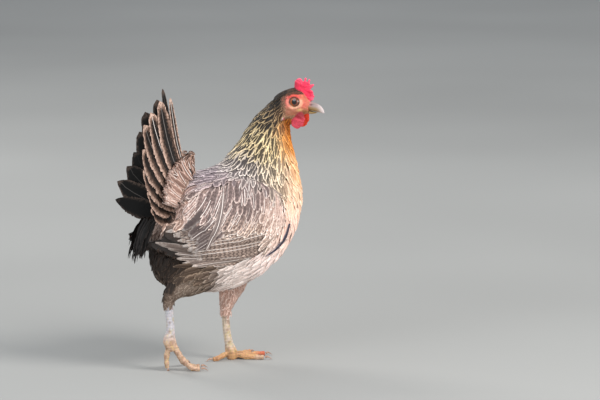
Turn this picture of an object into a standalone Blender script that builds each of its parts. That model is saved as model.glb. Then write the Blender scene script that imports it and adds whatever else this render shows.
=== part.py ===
"""A walking hen, life size, as a still model: left foot flat, right foot on its toes, head turned right.

The hen faces +X, its left side is +Y and the floor is Z = 0. Sizes are in millimetres and are
scaled to metres when a mesh is made. Each part is cut back by GAP where it meets its neighbour.
"""

import math

import bmesh
import bpy
from mathutils import Matrix, Vector
from mathutils.bvhtree import BVHTree

MM = 0.001
GAP = 0.3
GROWTH = 1.4  # at a sharp rim a vertex moves aslant, so it moves a little further than GAP
SIDES = (("left", 1), ("right", -1))

# Colours of each kind of part, as linear RGB, with roughness.
COLOURS = {
    "breast_feather": ((0.52, 0.40, 0.33), 0.8),
    "hackle": ((0.25, 0.19, 0.12), 0.7),
    "crown": ((0.28, 0.12, 0.08), 0.7),
    "wing_covert": ((0.42, 0.31, 0.27), 0.75),
    "flight_feather": ((0.36, 0.27, 0.23), 0.7),
    "tail_feather": ((0.06, 0.05, 0.05), 0.6),
    "tail_covert": ((0.35, 0.22, 0.16), 0.75),
    "undertail": ((0.02, 0.02, 0.02), 0.7),
    "thigh_feather": ((0.45, 0.37, 0.33), 0.85),
    "leg_scale": ((0.55, 0.48, 0.44), 0.5),
    "claw": ((0.25, 0.18, 0.14), 0.4),
    "comb": ((0.70, 0.04, 0.06), 0.45),
    "earlobe": ((0.60, 0.42, 0.38), 0.55),
    "beak": ((0.42, 0.36, 0.36), 0.4),
    "eye": ((0.12, 0.04, 0.015), 0.1),
}

# The trunk: each row is a section from a point on the back to a point on the belly, both in the
# middle plane, with the section's half width. Rows run from the rump to the base of the neck.
TRUNK_SIDES = 24
TRUNK_RINGS = 17
TRUNK_ROWS = (
    # back x, back z, belly x, belly z, half width
    (-76, 240, -106, 184, 17),
    (-72, 254, -112, 150, 36),
    (-60, 266, -101, 119, 51),
    (-40, 275, -72, 104, 60),
    (-22, 279, -36, 99, 64),
    (-10, 282, 0, 101, 66),
    (-4, 284, 38, 114, 66),
    (0, 286, 70, 137, 64),
    (2, 288, 96, 168, 60),
    (3, 290, 110, 200, 55),
    (5, 293, 114, 230, 48),
)

# The neck carries on from the trunk, and its last column turns each section about the head's axis.
NECK_SIDES = 20
NECK_RINGS = 10
NECK_ROWS = (
    (5.3, 293.8, 114.2, 231, 47.5, 0),
    (22, 310, 112, 258, 39, 0),
    (41, 336, 106, 286, 31, -10),
    (58, 353, 101, 309, 25, -26),
    (76.6, 368.7, 97.5, 330.8, 18.6, -45),
)
TURN_AXIS_X = 93
HEAD_TURN = -45

# The head has its own frame: its origin is midway between the eyes, X runs forward along the head.
HEAD_FORWARD = 17
HEAD_HEIGHT = 365
HEAD_SIDES = 18
HEAD_RINGS = 11
HEAD_ROWS = (
    (-33, 4, -12, -34, 18.0),
    (-24, 10.5, -8, -32, 17.5),
    (-14, 15, -3, -29, 16.5),
    (-5, 17, 2, -25, 15.5),
    (4, 14.5, 7, -21.5, 13.0),
    (11, 8.5, 11.5, -19.5, 10.0),
    (15, 3.5, 15, -18.6, 7.8),
    (17.5, 0.5, 17.5, -18.2, 6.4),
)
UPPER_BEAK_ROWS = (
    (17.9, 0.2, 17.9, -13.2, 6.2),
    (25, -2.0, 24.5, -14.4, 5.4),
    (30.5, -3.6, 29, -15.0, 4.2),
    (35.5, -7.2, 32.5, -15.6, 2.9),
    (38.6, -11.5, 35.5, -16.4, 1.9),
    (40.2, -15.8, 39.0, -17.2, 0.6),
)
LOWER_BEAK_ROWS = (
    (17.9, -13.6, 17.9, -18.4, 5.4),
    (24, -14.9, 23.5, -18.0, 4.2),
    (29, -15.5, 28.5, -16.6, 2.4),
)

EYE_CENTRE = (0.5, 11.6, -0.5)
EYE_RADII = (8.2, 5.2, 7.7)
WATTLE_CENTRE = (4.0, 9.4, -26.4)
WATTLE_RADII = (10.2, 2.1, 12.8)
EARLOBE_CENTRE = (-19.5, 16.3, -20.5)
EARLOBE_RADII = (5.6, 2.2, 8.4)

# The single comb: a fan of points about a centre on the forehead, angles from straight ahead.
COMB_CENTRE = (8.0, 8.0)
COMB_POINTS = ((-24, 17.5), (16, 16.5), (44, 23.0), (65, 25.5), (82, 26.0), (104, 25.5))
COMB_VALLEY = 0.68
COMB_REAR = ((128, 22.5), (150, 13.0))
COMB_BASE = ((8, -6), (-7, -9), (-14, 2))
COMB_THICK_BASE = 5.0
COMB_THICK_TIP = 1.8

# The folded wing: leaf-shaped layers that lie over the side of the trunk, inmost first.
# front x, front z, rear x, rear z, rise above and drop below that line, height off the trunk
WING_LAYERS = {
    "primaries": (28, 180, -140, 187, 10, 37, 1.8),
    "secondaries": (56, 194, -120, 202, 26, 42, 5.2),
    "coverts": (67, 216, -90, 228, 44, 40, 9.2),
}
WING_THICK = 2.0
WING_RINGS = 10
WING_ROWS = (-1.0, -0.7, -0.35, 0.0, 0.5, 1.0)
WING_REAR_LIMIT = -62
WING_TAPER = 0.28

# The tail: two fans of blades that meet in a ridge and slope down to each side like a tent. The
# fans are apart at the root and close together along the ridge. Each blade lies under the one above.
TAIL_ROOT = (-55, 212)
TAIL_RIDGE_ANGLE = 12
TAIL_SPLAY = 0.16
TAIL_FLARE = 0.0065
TAIL_ROOT_OUT = 14.5
TAIL_RIDGE_OUT = 1.4
TAIL_CLOSES = (30, 115)
TAIL_LAYER = 1.9
TAIL_THICK = 0.9
TAIL_BLADES = (
    # angle back from upright, length on the left, length on the right, half width
    (15.5, 171, 170, 13),
    (22.5, 160, 162, 15),
    (29.5, 138, 154, 16),
    (39, 117, 130, 17),
    (49, 107, 111, 17),
    (62, 102, 90, 16),
    (77, 93, 77, 15),
)
SICKLES = {"left": (11.6, 183, 4.5), "right": (10.1, 170, 4.5)}
COVERT_FAN = (2, 62, 86, 58)
SADDLE = ((-56, 254), (-59, 299), 21, 9, 7)  # foot x and z, top x and z, half widths, depth
SADDLE_THICK = 1.4
COVERT_THICK = 1.6

# Legs: path points with the limb's radii fore-and-aft and sideways.
LEGS = {
    "left": {
        "thigh": ((32, 37, 150, 36, 26), (26, 35, 112, 26, 20), (17, 28, 90, 17, 14),
                  (10, 21, 77, 11, 10), (8, 19, 71, 8.6, 8.4)),
        "shank": ((8, 19, 75, 6.0, 5.3), (8, 18.5, 60, 5.9, 5.0), (9, 17.5, 40, 5.7, 4.8),
                  (12, 16.5, 22, 6.4, 5.8), (15, 16, 11, 9.0, 9.0), (16, 16, 3.5, 8.0, 8.5),
                  (16, 16, 0, 6.0, 6.5)),
        "toes": {
            "inner": ((19, 14, 7.0), (34, 5.5, 4.2), (46, -1.0, 3.8), (55, -6.0, 3.4)),
            "middle": ((22, 16, 7.0), (40, 17, 4.6), (54, 18, 4.1), (67, 18, 3.5)),
            "outer": ((19, 19, 7.0), (33, 27, 4.2), (45, 34, 3.8), (54, 39, 3.4)),
            "rear": ((12, 15, 9.0), (1, 13.5, 6.5), (-8, 12.5, 3.4), (-14, 12, 3.2)),
        },
    },
    "right": {
        "thigh": ((-40, -34, 150, 34, 20), (-66, -33, 130, 27, 19), (-84, -30, 118, 17, 14),
                  (-94, -28, 108, 11, 10), (-97, -26, 102, 8.6, 8.4)),
        "shank": ((-97, -26, 106, 6.1, 5.4), (-97, -25.6, 92, 6.1, 5.0),
                  (-95, -25, 72, 5.9, 4.9), (-94, -24, 54, 6.6, 5.8), (-96, -24, 45, 9.5, 7.5),
                  (-93, -24, 35, 8.6, 8.6), (-91, -24, 29, 5.5, 6.5)),
        "toes": {
            "inner": ((-89, -21, 34), (-77, -12, 21), (-67, -5, 10.5), (-60, 0, 5.6)),
            "middle": ((-88, -24, 33), (-76, -24.5, 12), (-63, -25, 4.4), (-51, -25, 3.6)),
            "outer": ((-89, -27, 34), (-78, -33, 14), (-67, -37.5, 4.4), (-58, -41, 3.5)),
            "rear": ((-96, -23, 36), (-99, -22, 22), (-99, -22, 11), (-98, -21.5, 4.5)),
        },
    },
}
FLOOR_PRESS = 1.3  # undersides nearer the floor than this lie flat on it
TOE_RADIUS = 4.3
TOE_TIP_RADIUS = 3.0
KNUCKLE = 0.16
CLAW_LENGTH = 10
CLAW_RADIUS = 1.9

# Black feathers that droop behind the vent, below the tail.
UNDERTAIL = ((-94, 0, 188, 14, 15), (-112, 1, 188, 17, 17), (-128, 3, 179, 14, 13),
             (-135, 4, 163, 9, 7), (-136, 5, 149, 3, 3))


# ---------------------------------------------------------------- scene and materials

def clear_scene():
    for obj in list(bpy.data.objects):
        bpy.data.objects.remove(obj, do_unlink=True)


def new_collection(name):
    made = bpy.data.collections.new(name)
    bpy.context.scene.collection.children.link(made)
    return made


def new_empty(name, collection, parent=None, place=(0, 0, 0), turn=0.0):
    """A frame that parts are parented to, placed in millimetres and turned about the upright."""
    empty = bpy.data.objects.new(name, None)
    collection.objects.link(empty)
    empty.parent = parent
    empty.location = Vector(place) * MM
    empty.rotation_euler.z = math.radians(turn)
    return empty


def material(kind, node_name):
    colour, roughness = COLOURS[kind]
    made = bpy.data.materials.new(node_name)
    made.use_nodes = True
    shader = made.node_tree.nodes["Principled BSDF"]
    shader.inputs["Base Color"].default_value = (*colour, 1)
    shader.inputs["Roughness"].default_value = roughness
    made.diffuse_color = (*colour, 1)
    return made


# ---------------------------------------------------------------- curves and sections

def smooth_rows(rows, count):
    """The rows of a table drawn as a smooth curve through each of its rows, at even steps."""
    last = len(rows) - 1
    made = []
    for step in range(count):
        place = last * step / (count - 1)
        index = min(int(place), last - 1)
        t = place - index
        before, start = rows[max(index - 1, 0)], rows[index]
        end, after = rows[index + 1], rows[min(index + 2, last)]
        made.append(tuple(
            0.5 * (2 * q + (r - p) * t + (2 * p - 5 * q + 4 * r - s) * t * t
                   + (3 * q - p - 3 * r + s) * t ** 3)
            for p, q, r, s in zip(before, start, end, after)
        ))
    return made


def egg_section(row, sides, low=0.10, full=0.9):
    """A closed egg-shaped section between a back point and a belly point, fuller below."""
    top = Vector((row[0], 0, row[1]))
    bottom = Vector((row[2], 0, row[3]))
    middle, reach = (top + bottom) / 2, (top - bottom) / 2
    height = reach.length
    reach.normalize()
    points = []
    for k in range(sides):
        angle = math.tau * k / sides
        rise, run = math.cos(angle), math.sin(angle)
        wide = math.copysign(abs(run) ** full, run) * (1 - low * rise)
        points.append(middle + reach * (height * rise) + Vector((0, row[4] * wide, 0)))
    return points


def turned(point, degrees):
    """The point turned about the head's upright axis."""
    axis = Vector((TURN_AXIS_X, 0, 0))
    return Matrix.Rotation(math.radians(degrees), 3, "Z") @ (point - axis) + axis


def trunk_rings():
    return [egg_section(row, TRUNK_SIDES) for row in smooth_rows(TRUNK_ROWS, TRUNK_RINGS)]


def neck_rings():
    rings = []
    for row in smooth_rows(NECK_ROWS, NECK_RINGS):
        ring = egg_section(row, NECK_SIDES, low=0.0, full=0.95)
        rings.append([turned(point, row[5]) for point in ring])
    return rings


def head_rings(rows, count, sides, low=0.0, full=0.95):
    """Sections in the head's own frame."""
    return [egg_section(row, sides, low, full) for row in smooth_rows(rows, count)]


def tube_rings(path, sides):
    """Rings square to a path. Each path row is x, y, z, then one radius, or two: across and out."""
    points = [Vector(row[:3]) for row in path]
    rings = []
    for index, row in enumerate(path):
        along = points[min(index + 1, len(path) - 1)] - points[max(index - 1, 0)]
        along.normalize()
        side = Vector((0, 0, 1)).cross(along)
        if side.length < 0.45:
            side = along.cross(Vector((1, 0, 0)))
        side.normalize()
        across = side.cross(along).normalized()
        fore, wide = row[3], row[-1]
        rings.append([
            points[index]
            + across * (fore * math.cos(math.tau * k / sides))
            + side * (wide * math.sin(math.tau * k / sides))
            for k in range(sides)
        ])
    return rings


# ---------------------------------------------------------------- solids

class Rig:
    """The collections and the two empties that carry the hen's parts."""

    def __init__(self):
        self.body = new_collection("hen")
        self.helpers = new_collection("cutters")
        self.helpers.hide_render = True
        self.root = new_empty("hen_root", self.body)
        axis = Vector((TURN_AXIS_X + HEAD_FORWARD, 0, HEAD_HEIGHT))
        self.head = new_empty("head_frame", self.body, self.root, turned(axis, HEAD_TURN), HEAD_TURN)


def add_object(name, mesh, kind, rig, parent=None):
    mesh.shade_smooth()
    obj = bpy.data.objects.new(name, mesh)
    rig.body.objects.link(obj)
    obj.parent = parent or rig.root
    mesh.materials.append(material(kind, name))
    return obj


def mesh_from(name, points, faces):
    """A mesh from points in millimetres, with its faces made to point the same way, outwards."""
    bm = bmesh.new()
    verts = [bm.verts.new(Vector(point) * MM) for point in points]
    for face in faces:
        bm.faces.new([verts[index] for index in face])
    bmesh.ops.recalc_face_normals(bm, faces=bm.faces)
    mesh = bpy.data.meshes.new(name)
    bm.to_mesh(mesh)
    bm.free()
    return mesh


def loft(name, rings, kind, rig, parent=None, bulge=0.0):
    """A closed solid through the rings, each end closed by a fan about its middle."""
    sides = len(rings[0])
    points = [point for ring in rings for point in ring]
    faces = []
    for r in range(len(rings) - 1):
        for k in range(sides):
            j = (k + 1) % sides
            faces.append((r * sides + k, r * sides + j, (r + 1) * sides + j, (r + 1) * sides + k))
    for end, inner, first in ((0, 1, 0), (-1, -2, (len(rings) - 1) * sides)):
        middle = sum(rings[end], Vector()) / sides
        outward = (middle - sum(rings[inner], Vector()) / sides).normalized()
        points.append(middle + outward * bulge)
        for k in range(sides):
            faces.append((first + k, first + (k + 1) % sides, len(points) - 1))
    return add_object(name, mesh_from(name, points, faces), kind, rig, parent)


def lens(name, centre, radii, kind, rig, tilt=0.0, around=14, rings=8):
    """A sphere pressed to three radii and placed on the head, tipped by `tilt` in side view."""
    bm = bmesh.new()
    bmesh.ops.create_uvsphere(bm, u_segments=around, v_segments=rings, radius=MM)
    bmesh.ops.scale(bm, vec=radii, verts=bm.verts)
    mesh = bpy.data.meshes.new(name)
    bm.to_mesh(mesh)
    bm.free()
    obj = add_object(name, mesh, kind, rig, rig.head)
    obj.location = Vector(centre) * MM
    obj.rotation_euler.y = math.radians(tilt)
    return obj


def sheet(name, grid, thickness, kind, rig, side=1):
    """A thin piece: an open surface through a grid of points, made solid outwards from the body."""
    columns = len(grid[0])
    faces = []
    for r in range(len(grid) - 1):
        for c in range(columns - 1):
            corner = r * columns + c
            around = (corner, corner + columns, corner + columns + 1, corner + 1)
            faces.append(around if side > 0 else (corner, *around[:0:-1]))
    mesh = bpy.data.meshes.new(name)
    mesh.from_pydata([Vector(point) * MM for row in grid for point in row], [], faces)
    obj = add_object(name, mesh, kind, rig)
    solid = obj.modifiers.new("Thickness", "SOLIDIFY")
    solid.thickness = thickness * MM
    solid.offset = 1
    return obj


def cut(obj, cutters):
    for cutter in cutters:
        modifier = obj.modifiers.new("Cut " + cutter.name, "BOOLEAN")
        modifier.operation = "DIFFERENCE"
        modifier.solver = "EXACT"
        modifier.object = cutter


def grown(obj, rig):
    """A hidden copy of a part, larger all round, that cuts its neighbours back from it by GAP."""
    bpy.context.view_layer.update()
    solid = obj.evaluated_get(bpy.context.evaluated_depsgraph_get())
    copy = bpy.data.objects.new("grown_" + obj.name, bpy.data.meshes.new_from_object(solid))
    rig.helpers.objects.link(copy)
    copy.parent, copy.matrix_basis = obj.parent, obj.matrix_basis
    copy.hide_render = True
    copy.display_type = "WIRE"
    for vertex in copy.data.vertices:
        vertex.co += vertex.normal * (GROWTH * GAP * MM)
    return copy


# ---------------------------------------------------------------- the hen

def comb_outline():
    outline = []
    for index, (angle, reach) in enumerate(COMB_POINTS):
        outline.append((angle - 5, reach * 0.97))
        outline.append((angle + 5, reach))
        if index + 1 < len(COMB_POINTS):
            next_angle, next_reach = COMB_POINTS[index + 1]
            outline.append(((angle + next_angle) / 2, COMB_VALLEY * (reach + next_reach) / 2))
    outline.extend(COMB_REAR)
    rim = []
    for angle, reach in outline:
        turn = math.radians(angle)
        rim.append((COMB_CENTRE[0] + reach * math.cos(turn), COMB_CENTRE[1] + reach * math.sin(turn)))
    rim.extend((COMB_CENTRE[0] + x, COMB_CENTRE[1] + z) for x, z in reversed(COMB_BASE))
    return rim


def build_comb(rig, cutters):
    """A single upright blade with points, thick at the forehead and thin at the points."""
    rim = comb_outline()
    count = len(rim)
    cx, cz = COMB_CENTRE
    longest = max(reach for _, reach in COMB_POINTS)
    points = []
    for side in (-1, 1):
        for scale, edge in ((1.0, 0.55), (0.5, 1.0)):
            for x, z in rim:
                px, pz = cx + (x - cx) * scale, cz + (z - cz) * scale
                far = min(math.hypot(px - cx, pz - cz) / longest, 1)
                thick = COMB_THICK_BASE + (COMB_THICK_TIP - COMB_THICK_BASE) * far
                points.append((px, side * edge * thick / 2, pz))
        points.append((cx, side * COMB_THICK_BASE / 2, cz))
    half = len(points) // 2
    faces = []
    for k in range(count):
        j = (k + 1) % count
        for first in (0, half):
            faces.append((first + k, first + j, first + count + j, first + count + k))
            faces.append((first + count + k, first + count + j, first + 2 * count))
        faces.append((j, k, half + k, half + j))
    comb = add_object("comb", mesh_from("comb", points, faces), "comb", rig, rig.head)
    cut(comb, cutters)


def build_head(rig, neck):
    head = loft("head", head_rings(HEAD_ROWS, HEAD_RINGS, HEAD_SIDES), "crown", rig, rig.head)
    upper = loft("beak_upper", head_rings(UPPER_BEAK_ROWS, 8, 12, 0.25, 0.8), "beak", rig, rig.head)
    lower = loft("beak_lower", head_rings(LOWER_BEAK_ROWS, 4, 10, -0.2, 0.8), "beak", rig, rig.head)
    grown_head, grown_upper = grown(head, rig), grown(upper, rig)
    grown_lower, grown_neck = grown(lower, rig), grown(neck, rig)
    build_comb(rig, [grown_head, grown_upper])
    sockets = []
    for side_name, side in SIDES:
        def beside(centre):
            return (centre[0], side * centre[1], centre[2])

        eye = lens("eye_" + side_name, beside(EYE_CENTRE), EYE_RADII, "eye", rig)
        sockets.append(grown(eye, rig))
        wattle = lens("wattle_" + side_name, beside(WATTLE_CENTRE), WATTLE_RADII, "comb", rig, 24, 12, 8)
        cut(wattle, [grown_head, grown_lower, grown_neck])
        earlobe = lens("earlobe_" + side_name, beside(EARLOBE_CENTRE), EARLOBE_RADII, "earlobe",
                       rig, -38, 10, 7)
        cut(earlobe, [grown_head, grown_neck])
    cut(head, sockets)


def trunk_side(tree, x, z, side):
    """How far out the trunk's side lies at this x and z; behind the rump it carries on, closing in."""
    held = max(x, WING_REAR_LIMIT)
    start = Vector((held, side * 200, z)) * MM
    hit = tree.ray_cast(start, Vector((0, -side, 0)))[0]
    out = abs(hit.y) / MM if hit else 20.0
    return out - WING_TAPER * (held - x)


def build_wings(rig, trunk):
    """Builds both wings and returns a cutter for the outermost layer of each."""
    tree = BVHTree.FromPolygons([v.co for v in trunk.data.vertices],
                                [p.vertices for p in trunk.data.polygons])
    cutters = {}
    for side_name, side in SIDES:
        for layer, (fx, fz, rx, rz, rise, drop, height) in WING_LAYERS.items():
            grid = []
            for r in range(WING_RINGS):
                t = 0.03 + 0.94 * r / (WING_RINGS - 1)
                swell = math.sin(math.pi * t ** 0.75) ** 0.6
                x, z = fx + (rx - fx) * t, fz + (rz - fz) * t
                row = []
                for across in WING_ROWS:
                    reach = (rise if across > 0 else drop) * across * swell
                    out = trunk_side(tree, x, z + reach, side) + height
                    row.append(Vector((x, side * out, z + reach)))
                grid.append(row)
            kind = "wing_covert" if layer == "coverts" else "flight_feather"
            piece = sheet(f"wing_{side_name}_{layer}", grid, WING_THICK, kind, rig, side)
        cutters[side_name] = grown(piece, rig)
    return cutters


def tail_out(x, z):
    """How far the tail's tent lies from the middle plane at this place in side view."""
    dx, dz = x - TAIL_ROOT[0], z - TAIL_ROOT[1]
    ridge = math.radians(TAIL_RIDGE_ANGLE)
    away = -dx * math.cos(ridge) - dz * math.sin(ridge)
    away = (away + math.hypot(away, 8.0)) / 2
    near, far = TAIL_CLOSES
    t = min(max((math.hypot(dx, dz) - near) / (far - near), 0.0), 1.0)
    base = TAIL_ROOT_OUT + (TAIL_RIDGE_OUT - TAIL_ROOT_OUT) * t * t * (3 - 2 * t)
    return base + TAIL_SPLAY * away + TAIL_FLARE * away * away


def tail_blade(name, angle, length, half_width, side, layer, start, rig, cutters, steps=7):
    """One long feather of the tail: a thin blade that lies in the tent, with a rounded tip."""
    turn = math.radians(angle)
    along = Vector((-math.sin(turn), 0, math.cos(turn)))
    across = Vector((math.cos(turn), 0, math.sin(turn)))
    root = Vector((TAIL_ROOT[0], 0, TAIL_ROOT[1]))
    grid = []
    for r in range(steps):
        t = r / (steps - 1)
        place = root + along * (start + (length - start) * t)
        place -= across * (half_width * 0.35 * math.sin(math.pi * t))
        wide = half_width * (0.35 + 0.65 * min(t * 2.2, 1)) * (1 - max(t - 0.72, 0) / 0.28 * 0.55)
        row = []
        for k in (-1, 0, 1):
            p = place + across * (k * wide)
            if r == steps - 1 and k:
                p -= along * (half_width * 0.5)
            row.append(Vector((p.x, side * (tail_out(p.x, p.z) + layer * TAIL_LAYER), p.z)))
        grid.append(row)
    cut(sheet(name, grid, TAIL_THICK, "tail_feather", rig, side), cutters)


def build_tail(rig, grown_trunk, grown_coverts):
    for side_name, side in SIDES:
        for index, (angle, long_left, long_right, half_width) in enumerate(TAIL_BLADES):
            tail_blade(f"tail_{side_name}_{index + 1}", angle, long_left if side > 0 else long_right,
                       half_width, side, -index, 10, rig, [grown_trunk])
        angle, length, half_width = SICKLES[side_name]
        tail_blade("sickle_" + side_name, angle, length, half_width, side, 1.3, 60, rig, [], 6)
        first, last, high, low = COVERT_FAN
        grid = []
        for a in range(8):
            share = a / 7
            turn = math.radians(first + (last - first) * share)
            far = high + (low - high) * share
            row = []
            for r in range(4):
                reach = 14 + (far - 14) * r / 3
                x = TAIL_ROOT[0] - math.sin(turn) * reach
                z = TAIL_ROOT[1] + math.cos(turn) * reach
                row.append(Vector((x, side * (tail_out(x, z) + 2.5 * TAIL_LAYER), z)))
            grid.append(row)
        coverts = sheet("tail_coverts_" + side_name, grid, COVERT_THICK, "tail_covert", rig, side)
        cut(coverts, [grown_trunk, grown_coverts[side_name]])


def build_saddle(rig, grown_trunk):
    """The shield of short feathers that closes the front of the tail, above the rump."""
    foot, top, half_foot, half_top, depth = SADDLE
    grid = []
    for r in range(4):
        h = r / 3
        half = half_foot + (half_top - half_foot) * h
        row = []
        for k in range(9):
            turn = math.radians(-82 + 164 * k / 8)
            x = foot[0] + (top[0] - foot[0]) * h + depth * math.cos(turn)
            z = foot[1] + (top[1] - foot[1]) * h - 6 * h * math.sin(turn) ** 2
            row.append(Vector((x, half * math.sin(turn), z)))
        grid.append(row)
    cut(sheet("tail_saddle", grid, SADDLE_THICK, "tail_covert", rig, -1), [grown_trunk])


def toe_path(points):
    """The toe's centre line with knuckles: the radius swells at each joint and shrinks to the tip."""
    rows = smooth_rows(points, 7)
    path = []
    for index, (x, y, z) in enumerate(rows):
        share = index / (len(rows) - 1)
        radius = TOE_RADIUS + (TOE_TIP_RADIUS - TOE_RADIUS) * share
        radius *= 1 + (KNUCKLE if index % 2 == 0 else -KNUCKLE / 2)
        path.append((x, y, z, radius))
    return path


def flat_floor(rings):
    """The rings with their undersides pressed flat where they come close to the floor."""
    return [[Vector((p.x, p.y, p.z if p.z > FLOOR_PRESS else 0.0)) for p in ring] for ring in rings]


def claw_path(points):
    """A claw that carries on from the toe's tip and bends down."""
    end, before = Vector(points[-1]), Vector(points[-2])
    along = (end - before)
    along.z *= 0.4
    along.normalize()
    path = []
    for index in range(4):
        t = index / 3
        drop = Vector((0, 0, 1.4 * math.sin(math.pi * min(t * 1.3, 1)) - 2.6 * t * t))
        place = end + along * (2.4 + CLAW_LENGTH * t) + drop
        place.z = max(place.z, 0.6)
        path.append((*place, CLAW_RADIUS * (1 - 0.78 * t)))
    return path


def build_legs(rig, grown_trunk):
    for side_name, _ in SIDES:
        leg = LEGS[side_name]
        thigh = loft("thigh_" + side_name, tube_rings(smooth_rows(leg["thigh"], 7), 14),
                     "thigh_feather", rig)
        shank = loft("shank_" + side_name, flat_floor(tube_rings(smooth_rows(leg["shank"], 11), 10)),
                     "leg_scale", rig)
        grown_shank = grown(shank, rig)
        cut(shank, [grown(thigh, rig)])
        cut(thigh, [grown_trunk])
        grown_toes = []
        for toe in ("middle", "rear", "inner", "outer"):
            points = leg["toes"][toe]
            solid = loft(f"toe_{side_name}_{toe}", flat_floor(tube_rings(toe_path(points), 8)),
                         "leg_scale", rig, bulge=0.8)
            claw = loft(f"claw_{side_name}_{toe}", flat_floor(tube_rings(claw_path(points), 6)),
                        "claw", rig)
            grown_toe = grown(solid, rig)
            cut(solid, [grown_shank] + grown_toes)
            cut(claw, [grown_toe])
            grown_toes.append(grown_toe)


def stand_on_origin(rig):
    """Moves the root so that the middle of the whole, seen from above, stands over the origin."""
    bpy.context.view_layer.update()
    corners = [obj.matrix_world @ vertex.co for obj in rig.body.objects if obj.type == "MESH"
               for vertex in obj.data.vertices]
    low = [min(corner[k] for corner in corners) for k in range(3)]
    high = [max(corner[k] for corner in corners) for k in range(3)]
    rig.root.location = (-(low[0] + high[0]) / 2, -(low[1] + high[1]) / 2, -low[2])


def main():
    clear_scene()
    rig = Rig()
    trunk = loft("trunk", trunk_rings(), "breast_feather", rig)
    neck = loft("neck", neck_rings(), "hackle", rig)
    grown_trunk = grown(trunk, rig)
    build_head(rig, neck)
    grown_coverts = build_wings(rig, trunk)
    build_tail(rig, grown_trunk, grown_coverts)
    build_saddle(rig, grown_trunk)
    undertail = loft("undertail", tube_rings(smooth_rows(UNDERTAIL, 7), 14), "undertail", rig)
    cut(undertail, [grown_trunk])
    build_legs(rig, grown_trunk)
    stand_on_origin(rig)


main()
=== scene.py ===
"""A walking hen as a still, life-size model: the looks.

Everything is worked out in millimetres in the row frame (+X the way the hen walks, +Y its left side,
+Z up) and scaled to metres where a mesh is made. Side views of the body use (x, z).
The head has a frame of its own: +X to the bill's tip, +Y the hen's left, +Z up.
"""

import math
from collections import namedtuple

import bpy
import numpy as np
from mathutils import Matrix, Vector
from mathutils.bvhtree import BVHTree


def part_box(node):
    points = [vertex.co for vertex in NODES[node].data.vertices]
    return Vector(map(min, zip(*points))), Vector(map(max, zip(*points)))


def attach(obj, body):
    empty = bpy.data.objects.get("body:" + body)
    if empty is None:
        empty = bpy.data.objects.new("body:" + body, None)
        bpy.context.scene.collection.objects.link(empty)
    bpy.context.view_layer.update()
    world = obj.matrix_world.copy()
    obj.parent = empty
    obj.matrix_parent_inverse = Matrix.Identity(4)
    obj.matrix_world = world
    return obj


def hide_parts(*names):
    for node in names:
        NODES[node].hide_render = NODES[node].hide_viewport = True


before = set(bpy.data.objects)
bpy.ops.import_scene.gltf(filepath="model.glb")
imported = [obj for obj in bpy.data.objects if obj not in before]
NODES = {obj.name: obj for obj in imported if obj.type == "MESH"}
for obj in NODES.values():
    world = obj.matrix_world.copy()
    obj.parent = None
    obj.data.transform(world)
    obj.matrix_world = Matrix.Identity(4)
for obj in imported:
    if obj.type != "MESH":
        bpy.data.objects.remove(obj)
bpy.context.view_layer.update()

MM = 0.001
SIDES = (("left", 1), ("right", -1))
PICTURE = (600, 400)

# The camera looks at the hen's right side from a little behind. FLOOR_POINT is the spot on the
# floor that shows at FLOOR_POINT_PX.
CAMERA_AZIMUTH = -25
CAMERA_ELEVATION = 9
CAMERA_DISTANCE = 4667
CAMERA_LENS = 200
CAMERA_SENSOR = 36
FLOOR_POINT = (6, 0, 0)
FLOOR_POINT_PX = (226, 362)

CAMERA_CLIP = (0.05, 60)

HEAD_AT = np.array([111.0, -12.0, 365.0])
HEAD_TURN = -45

# Each light's name, place and size in metres, power in watts and tint.
LIGHTS = (
    ("key", (1.6, -2.4, 2.9), 1.6, 122, (1.0, 0.98, 0.95)),
    ("fill", (-2.8, -1.6, 1.6), 2.4, 40, (0.92, 0.96, 1.0)),
    ("low", (-0.6, -3.0, 0.5), 1.6, 30, (1.0, 0.97, 0.94)),
    ("rim", (-0.8, 2.6, 2.4), 1.4, 45, (1.0, 0.99, 0.97)),
)
LIT_SPOT = Vector((0, 0, 0.2))
SKY, SKY_STRENGTH = (0.86, 0.90, 0.95, 1), 0.7
FLOOR_REACH = 30000


# ---------------------------------------------------------------- small tools

def unit(vectors):
    return vectors / np.maximum(np.linalg.norm(vectors, axis=-1, keepdims=True), 1e-9)


def smoothstep(low, high, value):
    t = np.clip((value - low) / (high - low), 0, 1)
    return t * t * (3 - 2 * t)


def rgb(code):
    """Linear RGB of a colour written as RRGGBB."""
    shown = np.array([int(code[k:k + 2], 16) / 255 for k in (0, 2, 4)])
    return np.where(shown < 0.04045, shown / 12.92, ((shown + 0.055) / 1.055) ** 2.4)


def plain(code, count):
    """The same colour for each of some points."""
    return np.tile(rgb(code), (count, 1))


def blend(colours, code, share):
    """Colours moved towards one, by each one's share."""
    return colours + (rgb(code) - colours) * share[:, None]


def turned(points, degrees):
    """Points turned about the upright axis through the origin."""
    c, s = math.cos(math.radians(degrees)), math.sin(math.radians(degrees))
    x, y, z = points[..., 0], points[..., 1], points[..., 2]
    return np.stack([x * c - y * s, x * s + y * c, z], axis=-1)


def to_head(points):
    return turned(points - HEAD_AT, -HEAD_TURN)


def from_head(points):
    return turned(np.asarray(points, float), HEAD_TURN) + HEAD_AT


def either_side(head):
    """Points in the head's frame, with those of its right side moved over to its left."""
    return np.stack([head[:, 0], np.abs(head[:, 1]), head[:, 2]], axis=1)


def wobble(points, size, seed):
    """A smooth random field from -1 to 1, with waves about `size` across."""
    rng = np.random.default_rng(seed)
    total = np.zeros(points.shape[:-1])
    for _ in range(6):
        direction = unit(rng.normal(size=3)) * (2 * math.pi / size) * rng.uniform(0.6, 1.5)
        total += np.sin(points @ direction + rng.uniform(0, 6.3))
    return total / 3.2


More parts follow.
